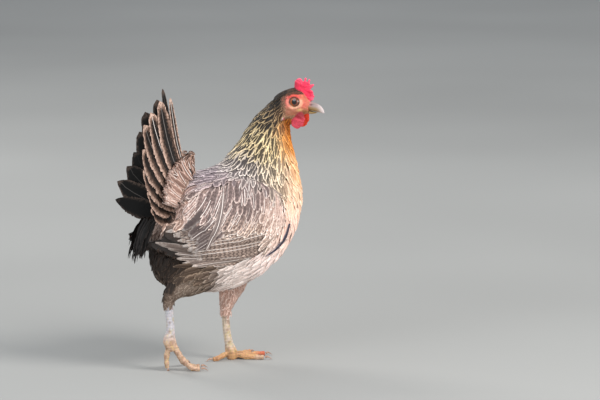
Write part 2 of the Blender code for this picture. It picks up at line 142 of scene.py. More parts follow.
def smooth_curve(points, count):
    """A smooth curve through the points, at even steps of its parameter."""
    points = np.asarray(points, float)
    padded = np.vstack([2 * points[0] - points[1], points, 2 * points[-1] - points[-2]])
    place = np.linspace(0, len(points) - 1, count)
    index = np.minimum(place.astype(int), len(points) - 2)
    t = (place - index)[:, None]
    p, q, r, s = (padded[index + k] for k in range(4))
    return 0.5 * (2 * q + (r - p) * t + (2 * p - 5 * q + 4 * r - s) * t ** 2
                  + (3 * q - p - 3 * r + s) * t ** 3)


def edges_of(triangles):
    return np.vstack([triangles[:, [0, 1]], triangles[:, [1, 2]], triangles[:, [2, 0]]])


def vertex_normals(points, triangles):
    a, b, c = (points[triangles[:, k]] for k in range(3))
    normal = np.cross(b - a, c - a)
    total = np.zeros_like(points)
    for axis in range(3):
        for corner in range(3):
            total[:, axis] += np.bincount(triangles[:, corner], normal[:, axis], len(points))
    return unit(total)


def pushed(points, triangles, height):
    """Points moved outwards, each by its own height."""
    return points + vertex_normals(points, triangles) * height[:, None]


def mesh_arrays(mesh):
    """A mesh's points in millimetres and its triangles."""
    points = np.empty(len(mesh.vertices) * 3, np.float32)
    mesh.vertices.foreach_get("co", points)
    mesh.calc_loop_triangles()
    corners = np.empty(len(mesh.loop_triangles) * 3, np.int32)
    mesh.loop_triangles.foreach_get("vertices", corners)
    return points.reshape(-1, 3).astype(float) / MM, corners.reshape(-1, 3)


def solid(name):
    """A CAD node's points, with those that coincide made one, and its triangles."""
    points, triangles = mesh_arrays(NODES[name].data)
    _, first, same = np.unique(np.round(points, 2), axis=0, return_index=True, return_inverse=True)
    triangles = same.reshape(-1)[triangles]
    a, b, c = triangles.T
    return points[first], triangles[(a != b) & (b != c) & (a != c)]


def joined(shapes):
    """Several (points, triangles) as one."""
    points = [shape[0] for shape in shapes]
    starts = np.cumsum([0] + [len(p) for p in points[:-1]])
    return np.vstack(points), np.vstack([s[1] + start for s, start in zip(shapes, starts)])


def mesh_object(name, points, faces, attributes=None, patches=None):
    """An object of a mesh whose faces all have the same number of corners, with point attributes."""
    mesh = bpy.data.meshes.new(name)
    count, corners = faces.shape
    mesh.vertices.add(len(points))
    mesh.vertices.foreach_set("co", (points * MM).astype(np.float32).ravel())
    mesh.loops.add(count * corners)
    mesh.loops.foreach_set("vertex_index", faces.astype(np.int32).ravel())
    mesh.polygons.add(count)
    mesh.polygons.foreach_set("loop_start", np.arange(0, count * corners, corners, dtype=np.int32))
    mesh.update(calc_edges=True)
    mesh.polygons.foreach_set("use_smooth", np.ones(count, bool))
    for key, values in (attributes or {}).items():
        kind = "FLOAT_VECTOR" if values.ndim > 1 else "FLOAT"
        field = "vector" if values.ndim > 1 else "value"
        made = mesh.attributes.new(key, kind, "POINT")
        made.data.foreach_set(field, values.astype(np.float32).ravel())
    if patches is not None:
        layer = mesh.uv_layers.new(name="OFBake")
        layer.data.foreach_set("uv", patches[faces.ravel()].astype(np.float32).ravel())
    obj = bpy.data.objects.new(name, mesh)
    bpy.context.scene.collection.objects.link(obj)
    return obj


def with_modifier(points, faces, kind, group=None, **settings):
    """The mesh of these points and faces after a modifier, which may act on a group of the points."""
    obj = mesh_object("draft", points, faces)
    modifier = obj.modifiers.new(kind, kind)
    for key, value in settings.items():
        setattr(modifier, key, value)
    if group is not None:
        modifier.vertex_group = obj.vertex_groups.new(name="group").name
        obj.vertex_groups["group"].add(np.flatnonzero(group).tolist(), 1.0, "REPLACE")
    evaluated = obj.evaluated_get(bpy.context.evaluated_depsgraph_get())
    made = evaluated.to_mesh()
    arrays = mesh_arrays(made)
    evaluated.to_mesh_clear()
    bpy.data.objects.remove(obj)
    return arrays


def melted(points, triangles, voxel):
    """Solids that overlap made one closed mesh."""
    return with_modifier(points, triangles, "REMESH", mode="VOXEL", voxel_size=voxel * MM)


def finish_piece(obj, material, replaces=()):
    obj.data.materials.append(material)
    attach(obj, "root")
    if replaces:
        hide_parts(*replaces)
    return obj


def nodes_like(*starts):
    return sorted(name for name in NODES if name.startswith(starts))


class Surface:
    """A triangle mesh that feathers lie on. It finds nearest points, with smooth normals."""

    def __init__(self, points, triangles):
        self.points, self.triangles = points, triangles
        self.normals = vertex_normals(points, triangles)
        self.tree = BVHTree.FromPolygons(points.tolist(), triangles.tolist())

    def at(self, spots, faces):
        corners = self.points[self.triangles[faces]]
        area = [np.linalg.norm(np.cross(corners[:, (k + 1) % 3] - spots, corners[:, (k + 2) % 3] - spots),
                               axis=1) + 1e-9 for k in range(3)]
        weights = np.stack(area, axis=1)[..., None]
        normals = self.normals[self.triangles[faces]]
        return unit((normals * weights).sum(axis=1))

    def nearest(self, places):
        flat = places.reshape(-1, 3)
        spots, faces = np.empty_like(flat), np.empty(len(flat), int)
        for index, place in enumerate(flat.tolist()):
            spot, _, face, _ = self.tree.find_nearest(place)
            spots[index], faces[index] = spot, face
        return spots.reshape(places.shape), self.at(spots, faces).reshape(places.shape)

    def from_side(self, xz, side, reach=200):
        """Where lines from the hen's side, at these (x, z), meet the surface."""
        spots, faces = np.empty((len(xz), 3)), np.zeros(len(xz), int)
        for index, (x, z) in enumerate(np.asarray(xz).tolist()):
            spot, _, face, _ = self.tree.ray_cast((x, side * reach, z), (0, -side, 0))
            if spot is None:
                spot, _, face, _ = self.tree.find_nearest((x, side * reach * 0.3, z))
                spot = (x, spot[1], z)
            spots[index], faces[index] = spot, face
        return spots, self.at(spots, faces)


# ---------------------------------------------------------------- materials

class Paint:
    """A node material, with short calls for the nodes it needs."""

    def __init__(self, name, roughness, specular):
        self.material = bpy.data.materials.new(name)
        self.material.use_nodes = True
        self.tree = self.material.node_tree
        self.shader = self.tree.nodes["Principled BSDF"]
        self.shader.inputs["Roughness"].default_value = roughness
        self.shader.inputs["Specular IOR Level"].default_value = specular

    def feed(self, socket, value):
        if isinstance(value, bpy.types.NodeSocket):
            self.tree.links.new(value, socket)
        elif isinstance(value, (tuple, list, np.ndarray)) and len(socket.default_value) == 4:
            socket.default_value = (*value, 1)
        else:
            socket.default_value = value

    def node(self, kind, settings=None, **inputs):
        made = self.tree.nodes.new(kind)
        for key, value in (settings or {}).items():
            setattr(made, key, value)
        for key, value in inputs.items():
            self.feed(made.inputs[key.replace("_", " ")], value)
        return made

    def math(self, operation, *values):
        made = self.node("ShaderNodeMath", {"operation": operation})
        for socket, value in zip(made.inputs, values):
            self.feed(socket, value)
        return made.outputs[0]

    def times(self, a, b):
        return self.math("MULTIPLY", a, b)

    def plus(self, a, b):
        return self.math("ADD", a, b)

    def minus(self, a, b):
        return self.math("SUBTRACT", a, b)

    def step(self, low, high, value):
        """0 below low and 1 above high, smoothly. It falls where low is above high."""
        made = self.node("ShaderNodeMapRange", {"interpolation_type": "SMOOTHSTEP"}, Value=value)
        self.feed(made.inputs["From Min"], min(low, high))
        self.feed(made.inputs["From Max"], max(low, high))
        self.feed(made.inputs["To Min"], 0.0 if low < high else 1.0)
        self.feed(made.inputs["To Max"], 1.0 if low < high else 0.0)
        return made.outputs["Result"]

    def mix(self, share, a, b, blend="MIX"):
        made = self.node("ShaderNodeMix", {"data_type": "RGBA", "blend_type": blend})
        self.feed(made.inputs[0], share)
        self.feed(made.inputs[6], a)
        self.feed(made.inputs[7], b)
        return made.outputs[2]

    def attribute(self, name):
        return self.node("ShaderNodeAttribute", {"attribute_name": name}).outputs["Vector"]

    def parts(self, vector):
        return self.node("ShaderNodeSeparateXYZ", Vector=vector).outputs

    def vector(self, x, y, z):
        return self.node("ShaderNodeCombineXYZ", X=x, Y=y, Z=z).outputs[0]

    def place(self):
        return self.node("ShaderNodeTexCoord").outputs["Object"]

    def noise(self, scale, detail=2.0, vector=None):
        vector = self.place() if vector is None else vector
        return self.node("ShaderNodeTexNoise", Scale=scale, Detail=detail, Roughness=0.55,
                         Vector=vector).outputs["Fac"]

    def cells(self, scale):
        return self.node("ShaderNodeTexVoronoi", Scale=scale, Vector=self.place()).outputs["Distance"]

    def shade(self, colour, share):
        """The colour made darker or lighter, by a share about 1."""
        return self.mix(1.0, colour, self.vector(share, share, share), "MULTIPLY")

    def bump(self, height, strength, distance):
        made = self.node("ShaderNodeBump", Height=height, Strength=strength, Distance=distance)
        self.feed(self.shader.inputs["Normal"], made.outputs[0])

    def colour(self, value):
        self.feed(self.shader.inputs["Base Color"], value)
        return self.material


def feather_paint():
    """Vanes with barbs, a shaft, and a centre, bars and edge of colours held by each feather."""
    paint = Paint("vane", 0.62, 0.25)
    along, across, chance = paint.parts(paint.attribute("vane"))
    far, aside, _ = paint.parts(paint.attribute("lay"))
    streak, bars, shaft = paint.parts(paint.attribute("pattern"))
    off, aside = paint.math("ABSOLUTE", across), paint.math("ABSOLUTE", aside)
    barb = paint.minus(far, paint.times(aside, 0.75))
    seed = paint.times(chance, 60.0)
    strands = paint.noise(1.0, 3.0, paint.vector(paint.times(barb, 1.6),
                                                 paint.times(aside, 0.18), seed))
    mottle = paint.noise(0.35, 3.0, paint.vector(far, aside, seed))
    centre = paint.plus(off, paint.times(paint.minus(mottle, 0.5), 0.9))
    centre = paint.plus(centre, paint.step(0.86, 1.0, along))
    streaked = paint.times(paint.step(0.72, 0.34, centre), streak)
    wave = paint.math("SINE", paint.plus(barb, paint.times(mottle, 9.0)))
    barred = paint.times(paint.step(-0.1, 0.5, wave), bars)
    rim = paint.math("MAXIMUM", off, paint.step(0.80, 1.0, along))
    rim = paint.plus(rim, paint.times(paint.minus(strands, 0.5), 0.35))
    edged = paint.step(0.58, 0.95, rim)
    edged = paint.times(edged, paint.step(0.28, 0.62, mottle))
    colour = paint.mix(streaked, paint.attribute("base"), paint.attribute("dark"))
    colour = paint.mix(barred, colour, paint.attribute("dark"))
    colour = paint.mix(edged, colour, paint.attribute("edge"))
    quill = paint.times(paint.step(0.55, 0.25, aside), shaft)
    quill = paint.times(quill, paint.step(0.40, 0.70, chance))
    quill = paint.times(quill, paint.step(1.0, 0.90, along))
    lit = paint.plus(0.52, paint.times(strands, 0.96))
    lit = paint.times(lit, paint.plus(0.88, paint.times(chance, 0.24)))
    colour = paint.shade(colour, lit)
    colour = paint.mix(quill, colour, rgb("F2E6DF"))
    paint.bump(strands, 0.35, 0.0006)
    return paint.colour(colour)


# ---------------------------------------------------------------- the set

def add_camera():
    azimuth, elevation = math.radians(CAMERA_AZIMUTH), math.radians(CAMERA_ELEVATION)
    back = Vector((math.sin(azimuth) * math.cos(elevation), -math.cos(azimuth) * math.cos(elevation),
                   math.sin(elevation)))
    right = Vector((math.cos(azimuth), math.sin(azimuth), 0))
    up = back.cross(right)
    per_pixel = CAMERA_DISTANCE * CAMERA_SENSOR / CAMERA_LENS / PICTURE[0]
    across = (FLOOR_POINT_PX[0] - PICTURE[0] / 2) * per_pixel
    above = (PICTURE[1] / 2 - FLOOR_POINT_PX[1]) * per_pixel
    camera = bpy.data.objects.new("camera", bpy.data.cameras.new("camera"))
    camera.data.lens, camera.data.sensor_width = CAMERA_LENS, CAMERA_SENSOR
    camera.data.clip_start, camera.data.clip_end = CAMERA_CLIP
    place = Vector(FLOOR_POINT) + back * CAMERA_DISTANCE - right * across - up * above
    camera.location = place * MM
    camera.rotation_euler = (-back).to_track_quat("-Z", "Y").to_euler()
    bpy.context.scene.collection.objects.link(camera)
    bpy.context.scene.camera = camera


def add_light(name, place, size, power, tint):
    light = bpy.data.lights.new(name, "AREA")
    light.shape, light.size, light.energy, light.color = "DISK", size, power, tint
    obj = bpy.data.objects.new(name, light)
    obj.location = place
    obj.rotation_euler = (LIT_SPOT - Vector(place)).to_track_quat("-Z", "Y").to_euler()
    bpy.context.scene.collection.objects.link(obj)


def add_set():
    """A pale floor and soft studio light."""
    corners = np.array([(-1, -1, 0), (1, -1, 0), (1, 1, 0), (-1, 1, 0)]) * FLOOR_REACH
    floor = mesh_object("floor", corners, np.array([[0, 1, 2, 3]]))
    paint = Paint("floor", 0.9, 0.1)
    patchy = paint.step(-3, 4, paint.noise(0.7))
    floor.data.materials.append(paint.colour(paint.shade(rgb("D9D9D6"), patchy)))
    for light in LIGHTS:
        add_light(*light)
    world = bpy.data.worlds.new("studio")
    world.use_nodes = True
    sky = world.node_tree.nodes["Background"].inputs
    sky["Color"].default_value, sky["Strength"].default_value = SKY, SKY_STRENGTH
    bpy.context.scene.world = world
    bpy.context.scene.view_settings.view_transform = "Standard"


# ---------------------------------------------------------------- skin

VOXEL = 0.7  # the grid that the skin is made on
OVERLAP = 0.4  # how far each solid is grown, so that those that meet join up
WING_BULK = np.arange(0, 11.5, 1.5)  # the wings are repeated this far inwards, to join the trunk
FINE_HEAD = 44  # within this of the head, and below FINE_LEGS, the skin keeps all its points
FINE_LEGS = 92
COARSE_POINTS = 9000  # and elsewhere about this many
# How deep the skin lies inside the solids, and the same under the head's plumage.
COAT_DEPTH = {"trunk": 5.0, "neck": 4.0, "wing": 3.5, "thigh": 3.0, "head": 0.4}
CROWN_DEPTH = 1.2
# The left eye in the head's frame: its middle, its ball's radii, and how wide and high it opens.
EYE_CENTRE = (0.4, 11.9, -0.5)
EYE_RADII = (9.0, 5.0, 8.4)
EYE_OPENING = (7.2, 6.6)

# The comb, as (x, z) in the head's frame: its base ridge, the spot that its points spread from, and
# their tips, from the front.
COMB_RIDGE = ((16.5, 1.0), (12, 7), (5, 13), (-1, 17))
COMB_HEART = (9, 12)
COMB_TIPS = ((25.0, 6.0), (23.6, 13.4), (24.0, 23.6), (18.6, 30.2), (11.8, 32.4), (4.2, 31.8))
# Its blunt lobes at the back and over the bill: from, to, and the radii there.
COMB_LOBES = (((6, 14), (-1.0, 24.0), 5.4, 4.6), ((-1.0, 24.0), (2.6, 28.6), 4.4, 3.4),
              ((7, 14), (14, 22), 6.0, 4.4), ((13, 6), (20.5, 3.2), 4.6, 3.4),
              ((19, 5), (21.5, 9.5), 3.4, 2.8))


def ball(rows=8, around=12):
    """A unit ball as points and triangles."""
    rise = np.linspace(-math.pi / 2, math.pi / 2, rows + 1)[1:-1]
    turn = np.arange(around) * 2 * math.pi / around
    rings = np.stack([np.outer(np.cos(rise), np.cos(turn)), np.outer(np.cos(rise), np.sin(turn)),
                      np.outer(np.sin(rise), np.ones(around))], axis=-1).reshape(-1, 3)
    points = np.vstack([rings, [[0, 0, -1], [0, 0, 1]]])
    low, high, triangles = len(rings), len(rings) + 1, []
    for k in range(around):
        j = (k + 1) % around
        for r in range(rows - 2):
            a, b = r * around + k, r * around + j
            triangles += [(a, b, b + around), (a, b + around, a + around)]
        top = (rows - 2) * around
        triangles += [(low, j, k), (high, top + k, top + j)]
    return points, np.array(triangles)


def beads(centres, radii):
    """Balls pressed to the given radii, which the remesh melts into one form."""
    points, triangles = ball()
    shapes = [(points * radius + centre, triangles)
              for centre, radius in zip(centres, np.broadcast_to(radii, (len(centres), 3)))]
    return joined(shapes)


def taper(start, end, thick, thin, flat, count):
    """A chain of beads from start to end in the head's frame, thick to thin, flattened sideways."""
    t = np.linspace(0, 1, count)[:, None]
    centres = np.asarray(start) * (1 - t) + np.asarray(end) * t
    size = thick + (thin - thick) * t
    return beads(centres, np.hstack([size, size * flat, size]))


def comb_shape():
    ridge = smooth_curve([(x, 0, z) for x, z in COMB_RIDGE], 12)
    shapes = [beads(ridge, (4.8, 2.9, 4.8))]
    heart = (COMB_HEART[0], 0, COMB_HEART[1])
    for index, (x, z) in enumerate(COMB_TIPS):
        sway = (-1) ** index * 0.9
        out = np.array((x, sway, z)) - heart
        middle = heart + out * 0.62
        end = np.array((x, sway, z)) - unit(out) * 2.0
        shapes.append(taper(heart, middle, 5.0, 2.7, 0.66, 8))
        shapes.append(taper(middle, end, 2.7, 2.2, 0.78, 10))
    for start, end, thick, thin in COMB_LOBES:
        shapes.append(taper((start[0], 0, start[1]), (end[0], 0, end[1]), thick, thin, 0.6, 10))
    return joined(shapes)


def bill_ring(count=36):
    """Flesh round the foot of the bill, so that face and bill run together."""
    turn = np.linspace(0, 2 * math.pi, count, endpoint=False)
    ring = np.stack([17.4 + 0.8 * np.sin(turn), 5.4 * np.cos(turn), -8.2 + 9.0 * np.sin(turn)], axis=1)
    return beads(ring, 1.5)


def eye_ring(side, scale, out, thick, count=40):
    """A fleshy ring round an eye: `scale` times the opening, `out` from the middle plane."""
    turn = np.linspace(0, 2 * math.pi, count, endpoint=False)
    x = EYE_CENTRE[0] + EYE_OPENING[0] * scale * np.cos(turn)
    z = EYE_CENTRE[2] + EYE_OPENING[1] * scale * np.sin(turn)
    y = out - 0.05 * np.abs(np.cos(turn)) * EYE_OPENING[0]
    return beads(np.stack([x, side * y, z], axis=1), thick)


def flesh():
    """Every solid of flesh and of the wings, with the comb and lids, melted into one closed mesh."""
    shapes = []
    for name in nodes_like("trunk", "neck", "head", "thigh", "shank", "toe", "wattle", "earlobe"):
        points, triangles = solid(name)
        shapes.append((pushed(points, triangles, np.full(len(points), OVERLAP)), triangles))
    for name in nodes_like("wing"):
        points, triangles = solid(name)
        side = np.sign(points[:, 1].mean())
        for inward in WING_BULK:
            shapes.append((points - (0, side * inward, 0), triangles))
    head_parts = [comb_shape(), bill_ring()]
    for _, side in SIDES:
        head_parts.append(eye_ring(side, 1.07, 14.6, 1.0))
        head_parts.append(eye_ring(side, 1.33, 13.9, 1.7))
    points, triangles = joined(head_parts)
    shapes.append((from_head(points), triangles))
    points, triangles = joined(shapes)
    points, triangles = melted(points, triangles, VOXEL)
    near_head = np.linalg.norm(points - HEAD_AT - (0, 0, 4), axis=1) < FINE_HEAD
    fine = near_head | (points[:, 2] < FINE_LEGS)
    share = (fine.sum() + COARSE_POINTS) / len(points)
    return with_modifier(points, triangles, "DECIMATE", group=~fine, ratio=share)


def part_of(points):
    """The kind of flesh that each point belongs to, by the nearest solid."""
    kinds = ("trunk", "neck", "head", "thigh", "wing", "shank", "toe", "wattle", "earlobe", "comb")
    shapes, owners = [], []
    for index, kind in enumerate(kinds):
        for name in nodes_like(kind):
            shapes.append(solid(name))
            owners.append(np.full(len(shapes[-1][1]), index))
    owners = np.concatenate(owners)
    tree = BVHTree.FromPolygons(*(array.tolist() for array in joined(shapes)))
    found = [owners[tree.find_nearest(point)[2]] for point in points.tolist()]
    return np.array(kinds)[found]


def spread(values, triangles, rounds, hold=None):
    """Values on points evened out with their neighbours', but for those held."""
    ends = edges_of(triangles)
    count = np.bincount(ends[:, 0], minlength=len(values))
    values = values.astype(float)
    for _ in range(rounds):
        if values.ndim == 1:
            mean = np.bincount(ends[:, 0], values[ends[:, 1]], len(values)) / np.maximum(count, 1)
        else:
            mean = np.stack([np.bincount(ends[:, 0], values[ends[:, 1], k], len(values))
                             for k in range(3)], axis=1) / np.maximum(count, 1)[:, None]
        moved = values * 0.4 + mean * 0.6
        values = moved if hold is None else np.where(hold, values, moved)
    return values


# The bare face's upper and lower limits are z at each x of the head's frame, and its rear is x at z.
FACE_TOP = ((-19, -12, -2, 6, 12, 17), (5.5, 10.5, 12.8, 13.0, 10.0, 4.0))
FACE_REAR = ((-30, -27, -14, -6, 0, 7), (-13, -15, -14.5, -15, -18, -17.5))
FACE_LOW = ((-14, -4, 6, 16), (-22, -24, -27, -27))
COMB_FOOT = ((-12, -3, 8, 17, 22), (19.5, 17.5, 12.5, 2.0, -2))


def face_is_bare(head):
    """True where the head's skin shows, for points in the head's frame."""
    x, z = head[:, 0], head[:, 2]
    within = (z < np.interp(x, *FACE_TOP)) & (x > np.interp(z, *FACE_REAR)) & (z > np.interp(x, *FACE_LOW))
    return within | ((x > 8) & (z > -27))


def is_comb(head):
    """True for the points of the comb, in the head's frame."""
    above = head[:, 2] > np.interp(head[:, 0], *COMB_FOOT)
    return above & (np.abs(head[:, 1]) < 6) & (np.linalg.norm(head, axis=1) < 45)


def build_skin():
    """The skin, the surface that feathers lie on, and the kind of flesh at each of its points."""
    points, triangles = flesh()
    kind = part_of(points)
    head = to_head(points)
    comb = is_comb(head)
    kind = np.where(comb, "comb", np.where(kind == "comb", "head", kind))
    bare = comb | np.isin(kind, ("shank", "toe", "wattle", "earlobe")) | (
        (kind == "head") & face_is_bare(head))
    fine = bare | (kind == "head")
    points = spread(points, triangles, 2)
    points = spread(points, triangles, 7, hold=fine[:, None])
    depth = np.select([kind == name for name in COAT_DEPTH], list(COAT_DEPTH.values()), OVERLAP)
    depth = np.where((kind == "head") & ~bare, CROWN_DEPTH, depth)
    depth = spread(depth, triangles, 8)
    points = pushed(points, triangles, -depth)
    points = pushed(points, triangles, -scute_grooves(points, kind) * GROOVE_DEPTH)
    lumpy = np.isin(kind, ("comb", "wattle")) * 0.45 + ((kind == "head") & bare) * 0.16
    folds = wobble(points, 5.5, 8) + 0.5 * wobble(points, 2.6, 9)
    points = pushed(points, triangles, lumpy * folds)
    points[:, 2] = np.maximum(points[:, 2], 0)
    return points, triangles, kind, bare


# Scutes, the scales of a bird's legs: their length along the leg, the half angle that the front row
# takes up round it, and how deep the grooves are.
SCUTE_LENGTH = {"shank": 4.2, "toe": 3.2}
FRONT_ROW = {"shank": 1.15, "toe": 1.9}
GROOVE_DEPTH = 0.28


def leg_axis(name, bins=9):
    """A line of points down the middle of a shank or toe, from its top."""
    points, _ = solid(name)
    top = points[:, 2].argmax()
    direction = unit(points[np.linalg.norm(points - points[top], axis=1).argmax()] - points[top])
    along = (points - points[top]) @ direction
    edges = np.linspace(along.min(), along.max(), bins + 1)
    middles = [points[(along >= low - 1e-6) & (along <= high + 1e-6)] for low, high in zip(edges, edges[1:])]
    return np.array([part.mean(axis=0) for part in middles if len(part)])


def leg_place(points, axis):
    """How far along a leg's axis each point is, and which way it lies from the axis."""
    best = np.full(len(points), np.inf)
    along, away = np.zeros(len(points)), np.zeros_like(points)
    start = 0.0
    for a, b in zip(axis, axis[1:]):
        length = np.linalg.norm(b - a)
        t = np.clip((points - a) @ (b - a) / length ** 2, 0, 1)
        off = points - (a + t[:, None] * (b - a))
        distance = np.linalg.norm(off, axis=1)
        near = distance < best
        best[near], along[near], away[near] = distance[near], (start + t * length)[near], off[near]
        start += length
    return along, away


def scute_grooves(points, kind):
    """How deep in a groove between scutes each point is, from 0 to 1."""
    grooves = np.zeros(len(points))
    for part, length in SCUTE_LENGTH.items():
        for name in nodes_like(part):
            mine = np.flatnonzero(kind == part)
            low, high = (np.array(corner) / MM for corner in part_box(name))
            inside = ((points[mine] > low - 1.5) & (points[mine] < high + 1.5)).all(axis=1)
            mine = mine[inside]
            along, away = leg_place(points[mine], leg_axis(name))
            turn = np.arctan2(away[:, 1], away[:, 0] if part == "shank" else away[:, 2])
            off = np.abs(turn)
            step = along / length + np.where(off < FRONT_ROW[part], 0, 0.5) + 0.12 * np.sin(turn * 2)
            edge = np.abs((step % 1) - 0.5) * 2
            crack = smoothstep(0.72, 1.0, edge)
            lane = smoothstep(0.16, 0.0, np.abs(off - FRONT_ROW[part]))
            if part == "shank":
                lane = np.maximum(lane, 0.7 * smoothstep(0.12, 0, off))
            grooves[mine] = np.maximum(grooves[mine], np.maximum(crack, lane * 0.8))
    return grooves


def tinted(colours, points, centre, radii, code, strength=1.0):
    """Colours blended to one by a soft spot round a centre."""
    share = np.exp(-(((points - centre) / radii) ** 2).sum(axis=1)) * strength
    return blend(colours, code, np.clip(share, 0, 1))


def from_eye(head):
    """How far forward, up and in all each point lies from the eye's middle, in sizes of its opening."""
    x = (head[:, 0] - EYE_CENTRE[0]) / EYE_OPENING[0]
    z = (head[:, 2] - EYE_CENTRE[2]) / EYE_OPENING[1]
    return x, z, np.hypot(x, z)


def face_colours(head):
    """The bare face, comb, wattles and lobes, for points in the head's frame."""
    side = either_side(head)
    colours = plain("BE7056", len(head))
    for centre, radii, code, strength in (
            ((-9, 14, -14), (9, 9, 8), "9C6650", 0.8), ((-4, 13, -20), (10, 9, 6), "B0704F", 0.8),
            ((12, 9, -4), (6, 7, 6), "CC5E50", 0.9), ((2, 13, 9), (13, 8, 3.5), "DD5A50", 0.9),
            ((-12, 14, 2), (5, 8, 8), "DE5E5C", 0.9), ((10, 10, 4), (4, 6, 4), "E2744E", 0.7),
            ((6.5, 11, -12.0), (3.4, 5, 2.0), "D8BC7C", 0.9), ((-16, 15, -8), (4, 6, 6), "9A7C68", 0.9),
            ((14, 8, -14.5), (5, 6, 3.0), "8A6638", 0.9), ((6, 11, -16.5), (8, 6, 2.2), "8E5240", 0.8),
            # The dark brown at z -26, along the face's lower edge, is partly the cheek's brown and partly
            # painted shade under the jaw.
            ((-2, 13, -26), (14, 9, 3.5), "6E4030", 0.8), ((-13, 15, -3), (1.6, 6, 6), "8A3A34", 0.6),
            ((-9, 14, 11), (9, 7, 4), "8E4A44", 0.9), ((4, 11, 13), (9, 7, 3), "A85438", 0.8),
            # The red-brown spot at (13, 6, 6), where the bill meets the comb's foot, is a painted shadow at
            # the bill's base.
            ((-9, 14, -17), (7, 7, 6), "9A6650", 0.7), ((13, 6, 6), (4, 6, 4), "9A4A2C", 0.6)):
        colours = tinted(colours, side, centre, radii, code, strength)
    x, z, far = from_eye(head)
    near_eye = smoothstep(8, 11, side[:, 1])
    ring = smoothstep(1.75, 1.45, far) * near_eye
    # Peach towards the ring's front and lower side: a painted highlight along its raised rim.
    ring_colour = blend(rgb("E48474"), "F6B898", smoothstep(-0.3, 1.0, x - z))
    ring_colour = blend(ring_colour, "DC4C40", smoothstep(0.25, 1.0, z) * 0.9)
    colours += (ring_colour - colours) * (ring * 0.95)[:, None]
    lid = smoothstep(1.13, 1.03, far) * near_eye
    lid_colour = blend(rgb("4A332C"), "A08058", smoothstep(0.1, 0.9, -z))
    return colours + (lid_colour - colours) * lid[:, None]


def comb_colours(head):
    colours = plain("F02C52", len(head))
    heart = np.hypot(head[:, 0] - COMB_HEART[0], head[:, 2] - COMB_HEART[1])
    # Paler pink out towards the points: painted highlight on the comb's edges.
    colours = blend(colours, "FF6482", smoothstep(9, 20, heart) * 0.8)
    # Darker crimson over the back lobe and at the front foot over the bill: painted shade in the comb's
    # hollows.
    colours = tinted(colours, head, (-2, 0, 23), (5, 9, 7), "B0102E", 0.7)
    return tinted(colours, head, (14, 0, 3), (5, 9, 5), "C8162C", 0.6)


def wattle_colours(head):
    near, far = plain("C63C4C", len(head)), plain("E8401C", len(head))
    near = blend(near, "7E141E", smoothstep(-27, -19, head[:, 2]) * 0.85)
    near = tinted(near, head, (0, -10, -34), (8, 6, 8), "DE5266", 0.6)
    return np.where(head[:, 1:2] < 0, near, far)


def lobe_colours(head):
    away = np.hypot((head[:, 0] + 19.5) / 5.6, (head[:, 2] + 20.5) / 8.4)
    pale = blend(rgb("E4DAD4"), "B9B4A4", smoothstep(-22, -14, head[:, 2]))
    return blend(pale, "C8505A", smoothstep(0.75, 1.05, away))


def leg_colours(points, kind):
    """Grey-white shanks that turn tan to yellow on the toes. The left leg is the browner one."""
    forward, across, height = points.T
    right = smoothstep(0, -6, across)
    shank = blend(rgb("C8B6A4"), "BFBBC0", right)
    foot = blend(rgb("C4946A"), "C6A48A", right)
    low = smoothstep(62, 36, height) * right + smoothstep(24, 8, height) * (1 - right)
    colours = shank + (foot - shank) * low[:, None]
    for code, share in (("C9B45E", smoothstep(0.35, 0.8, wobble(points, 5.0, 3)) * 0.35),
                        ("7A5240", smoothstep(0.3, 0.9, wobble(points, 9.0, 5)) * 0.5),
                        ("C2452A", smoothstep(52, 72, forward) * (1 - right) * 0.75)):
        colours = blend(colours, code, share)
    # Darker in the grooves between scutes: painted shade in the grooves.
    return colours * (1 - 0.45 * scute_grooves(points, kind)[:, None])


def skin_paint():
    paint = Paint("skin", 0.5, 0.4)
    flesh_share, horny, _ = paint.parts(paint.attribute("kind"))
    blotch, pores = paint.noise(260, 4), paint.cells(1500)
    folds, fleck = paint.noise(900, 3), paint.noise(620, 3)
    lit = paint.plus(0.42, paint.plus(paint.times(blotch, 0.66),
                                             paint.times(fleck, 0.5)))
    height = paint.plus(paint.times(pores, 0.6), folds)
    height = paint.times(height, paint.minus(1.0, paint.times(horny, 0.7)))
    paint.bump(height, 0.55, 0.0008)
    paint.feed(paint.shader.inputs["Roughness"],
               paint.minus(0.62, paint.times(flesh_share, 0.2)))
    for key, value in (("Weight", 0.12), ("Radius", (1.0, 0.3, 0.2)), ("Scale", 0.002)):
        paint.shader.inputs[f"Subsurface {key}"].default_value = value
    return paint.colour(paint.shade(paint.attribute("base"), lit))


def add_skin():
    points, triangles, kind, bare = build_skin()
    head = to_head(points)
    # Between the feathers the skin shows the plumage's colour darkened to 0.6: the colour is the plumage's
    # own, the darkening is painted shade in the gaps between feathers.
    colours = plumage(points, BODY)["base"] * 0.6
    face, legs = (kind == "head") & bare, np.isin(kind, ("shank", "toe"))
    for mask, shade in ((face, face_colours(head)), (kind == "wattle", wattle_colours(head)),
                        (kind == "earlobe", lobe_colours(head)), (legs, leg_colours(points, kind)),
                        (kind == "comb", comb_colours(head))):
        colours = np.where(mask[:, None], shade, colours)
    red = np.isin(kind, ("comb", "wattle")) | face
    kinds = np.stack([spread(red * 1.0, triangles, 2), legs * 1.0, np.zeros(len(points))], axis=1)
    colours = spread(colours, triangles, 2)
    skin = mesh_object("skin", points, triangles, {"base": colours, "kind": kinds})
    finish_piece(skin, skin_paint(), nodes_like(
        "trunk", "neck", "head", "thigh", "shank", "toe", "comb", "wattle", "earlobe"))
    return Surface(points, triangles), kind, bare


# ---------------------------------------------------------------- plumage

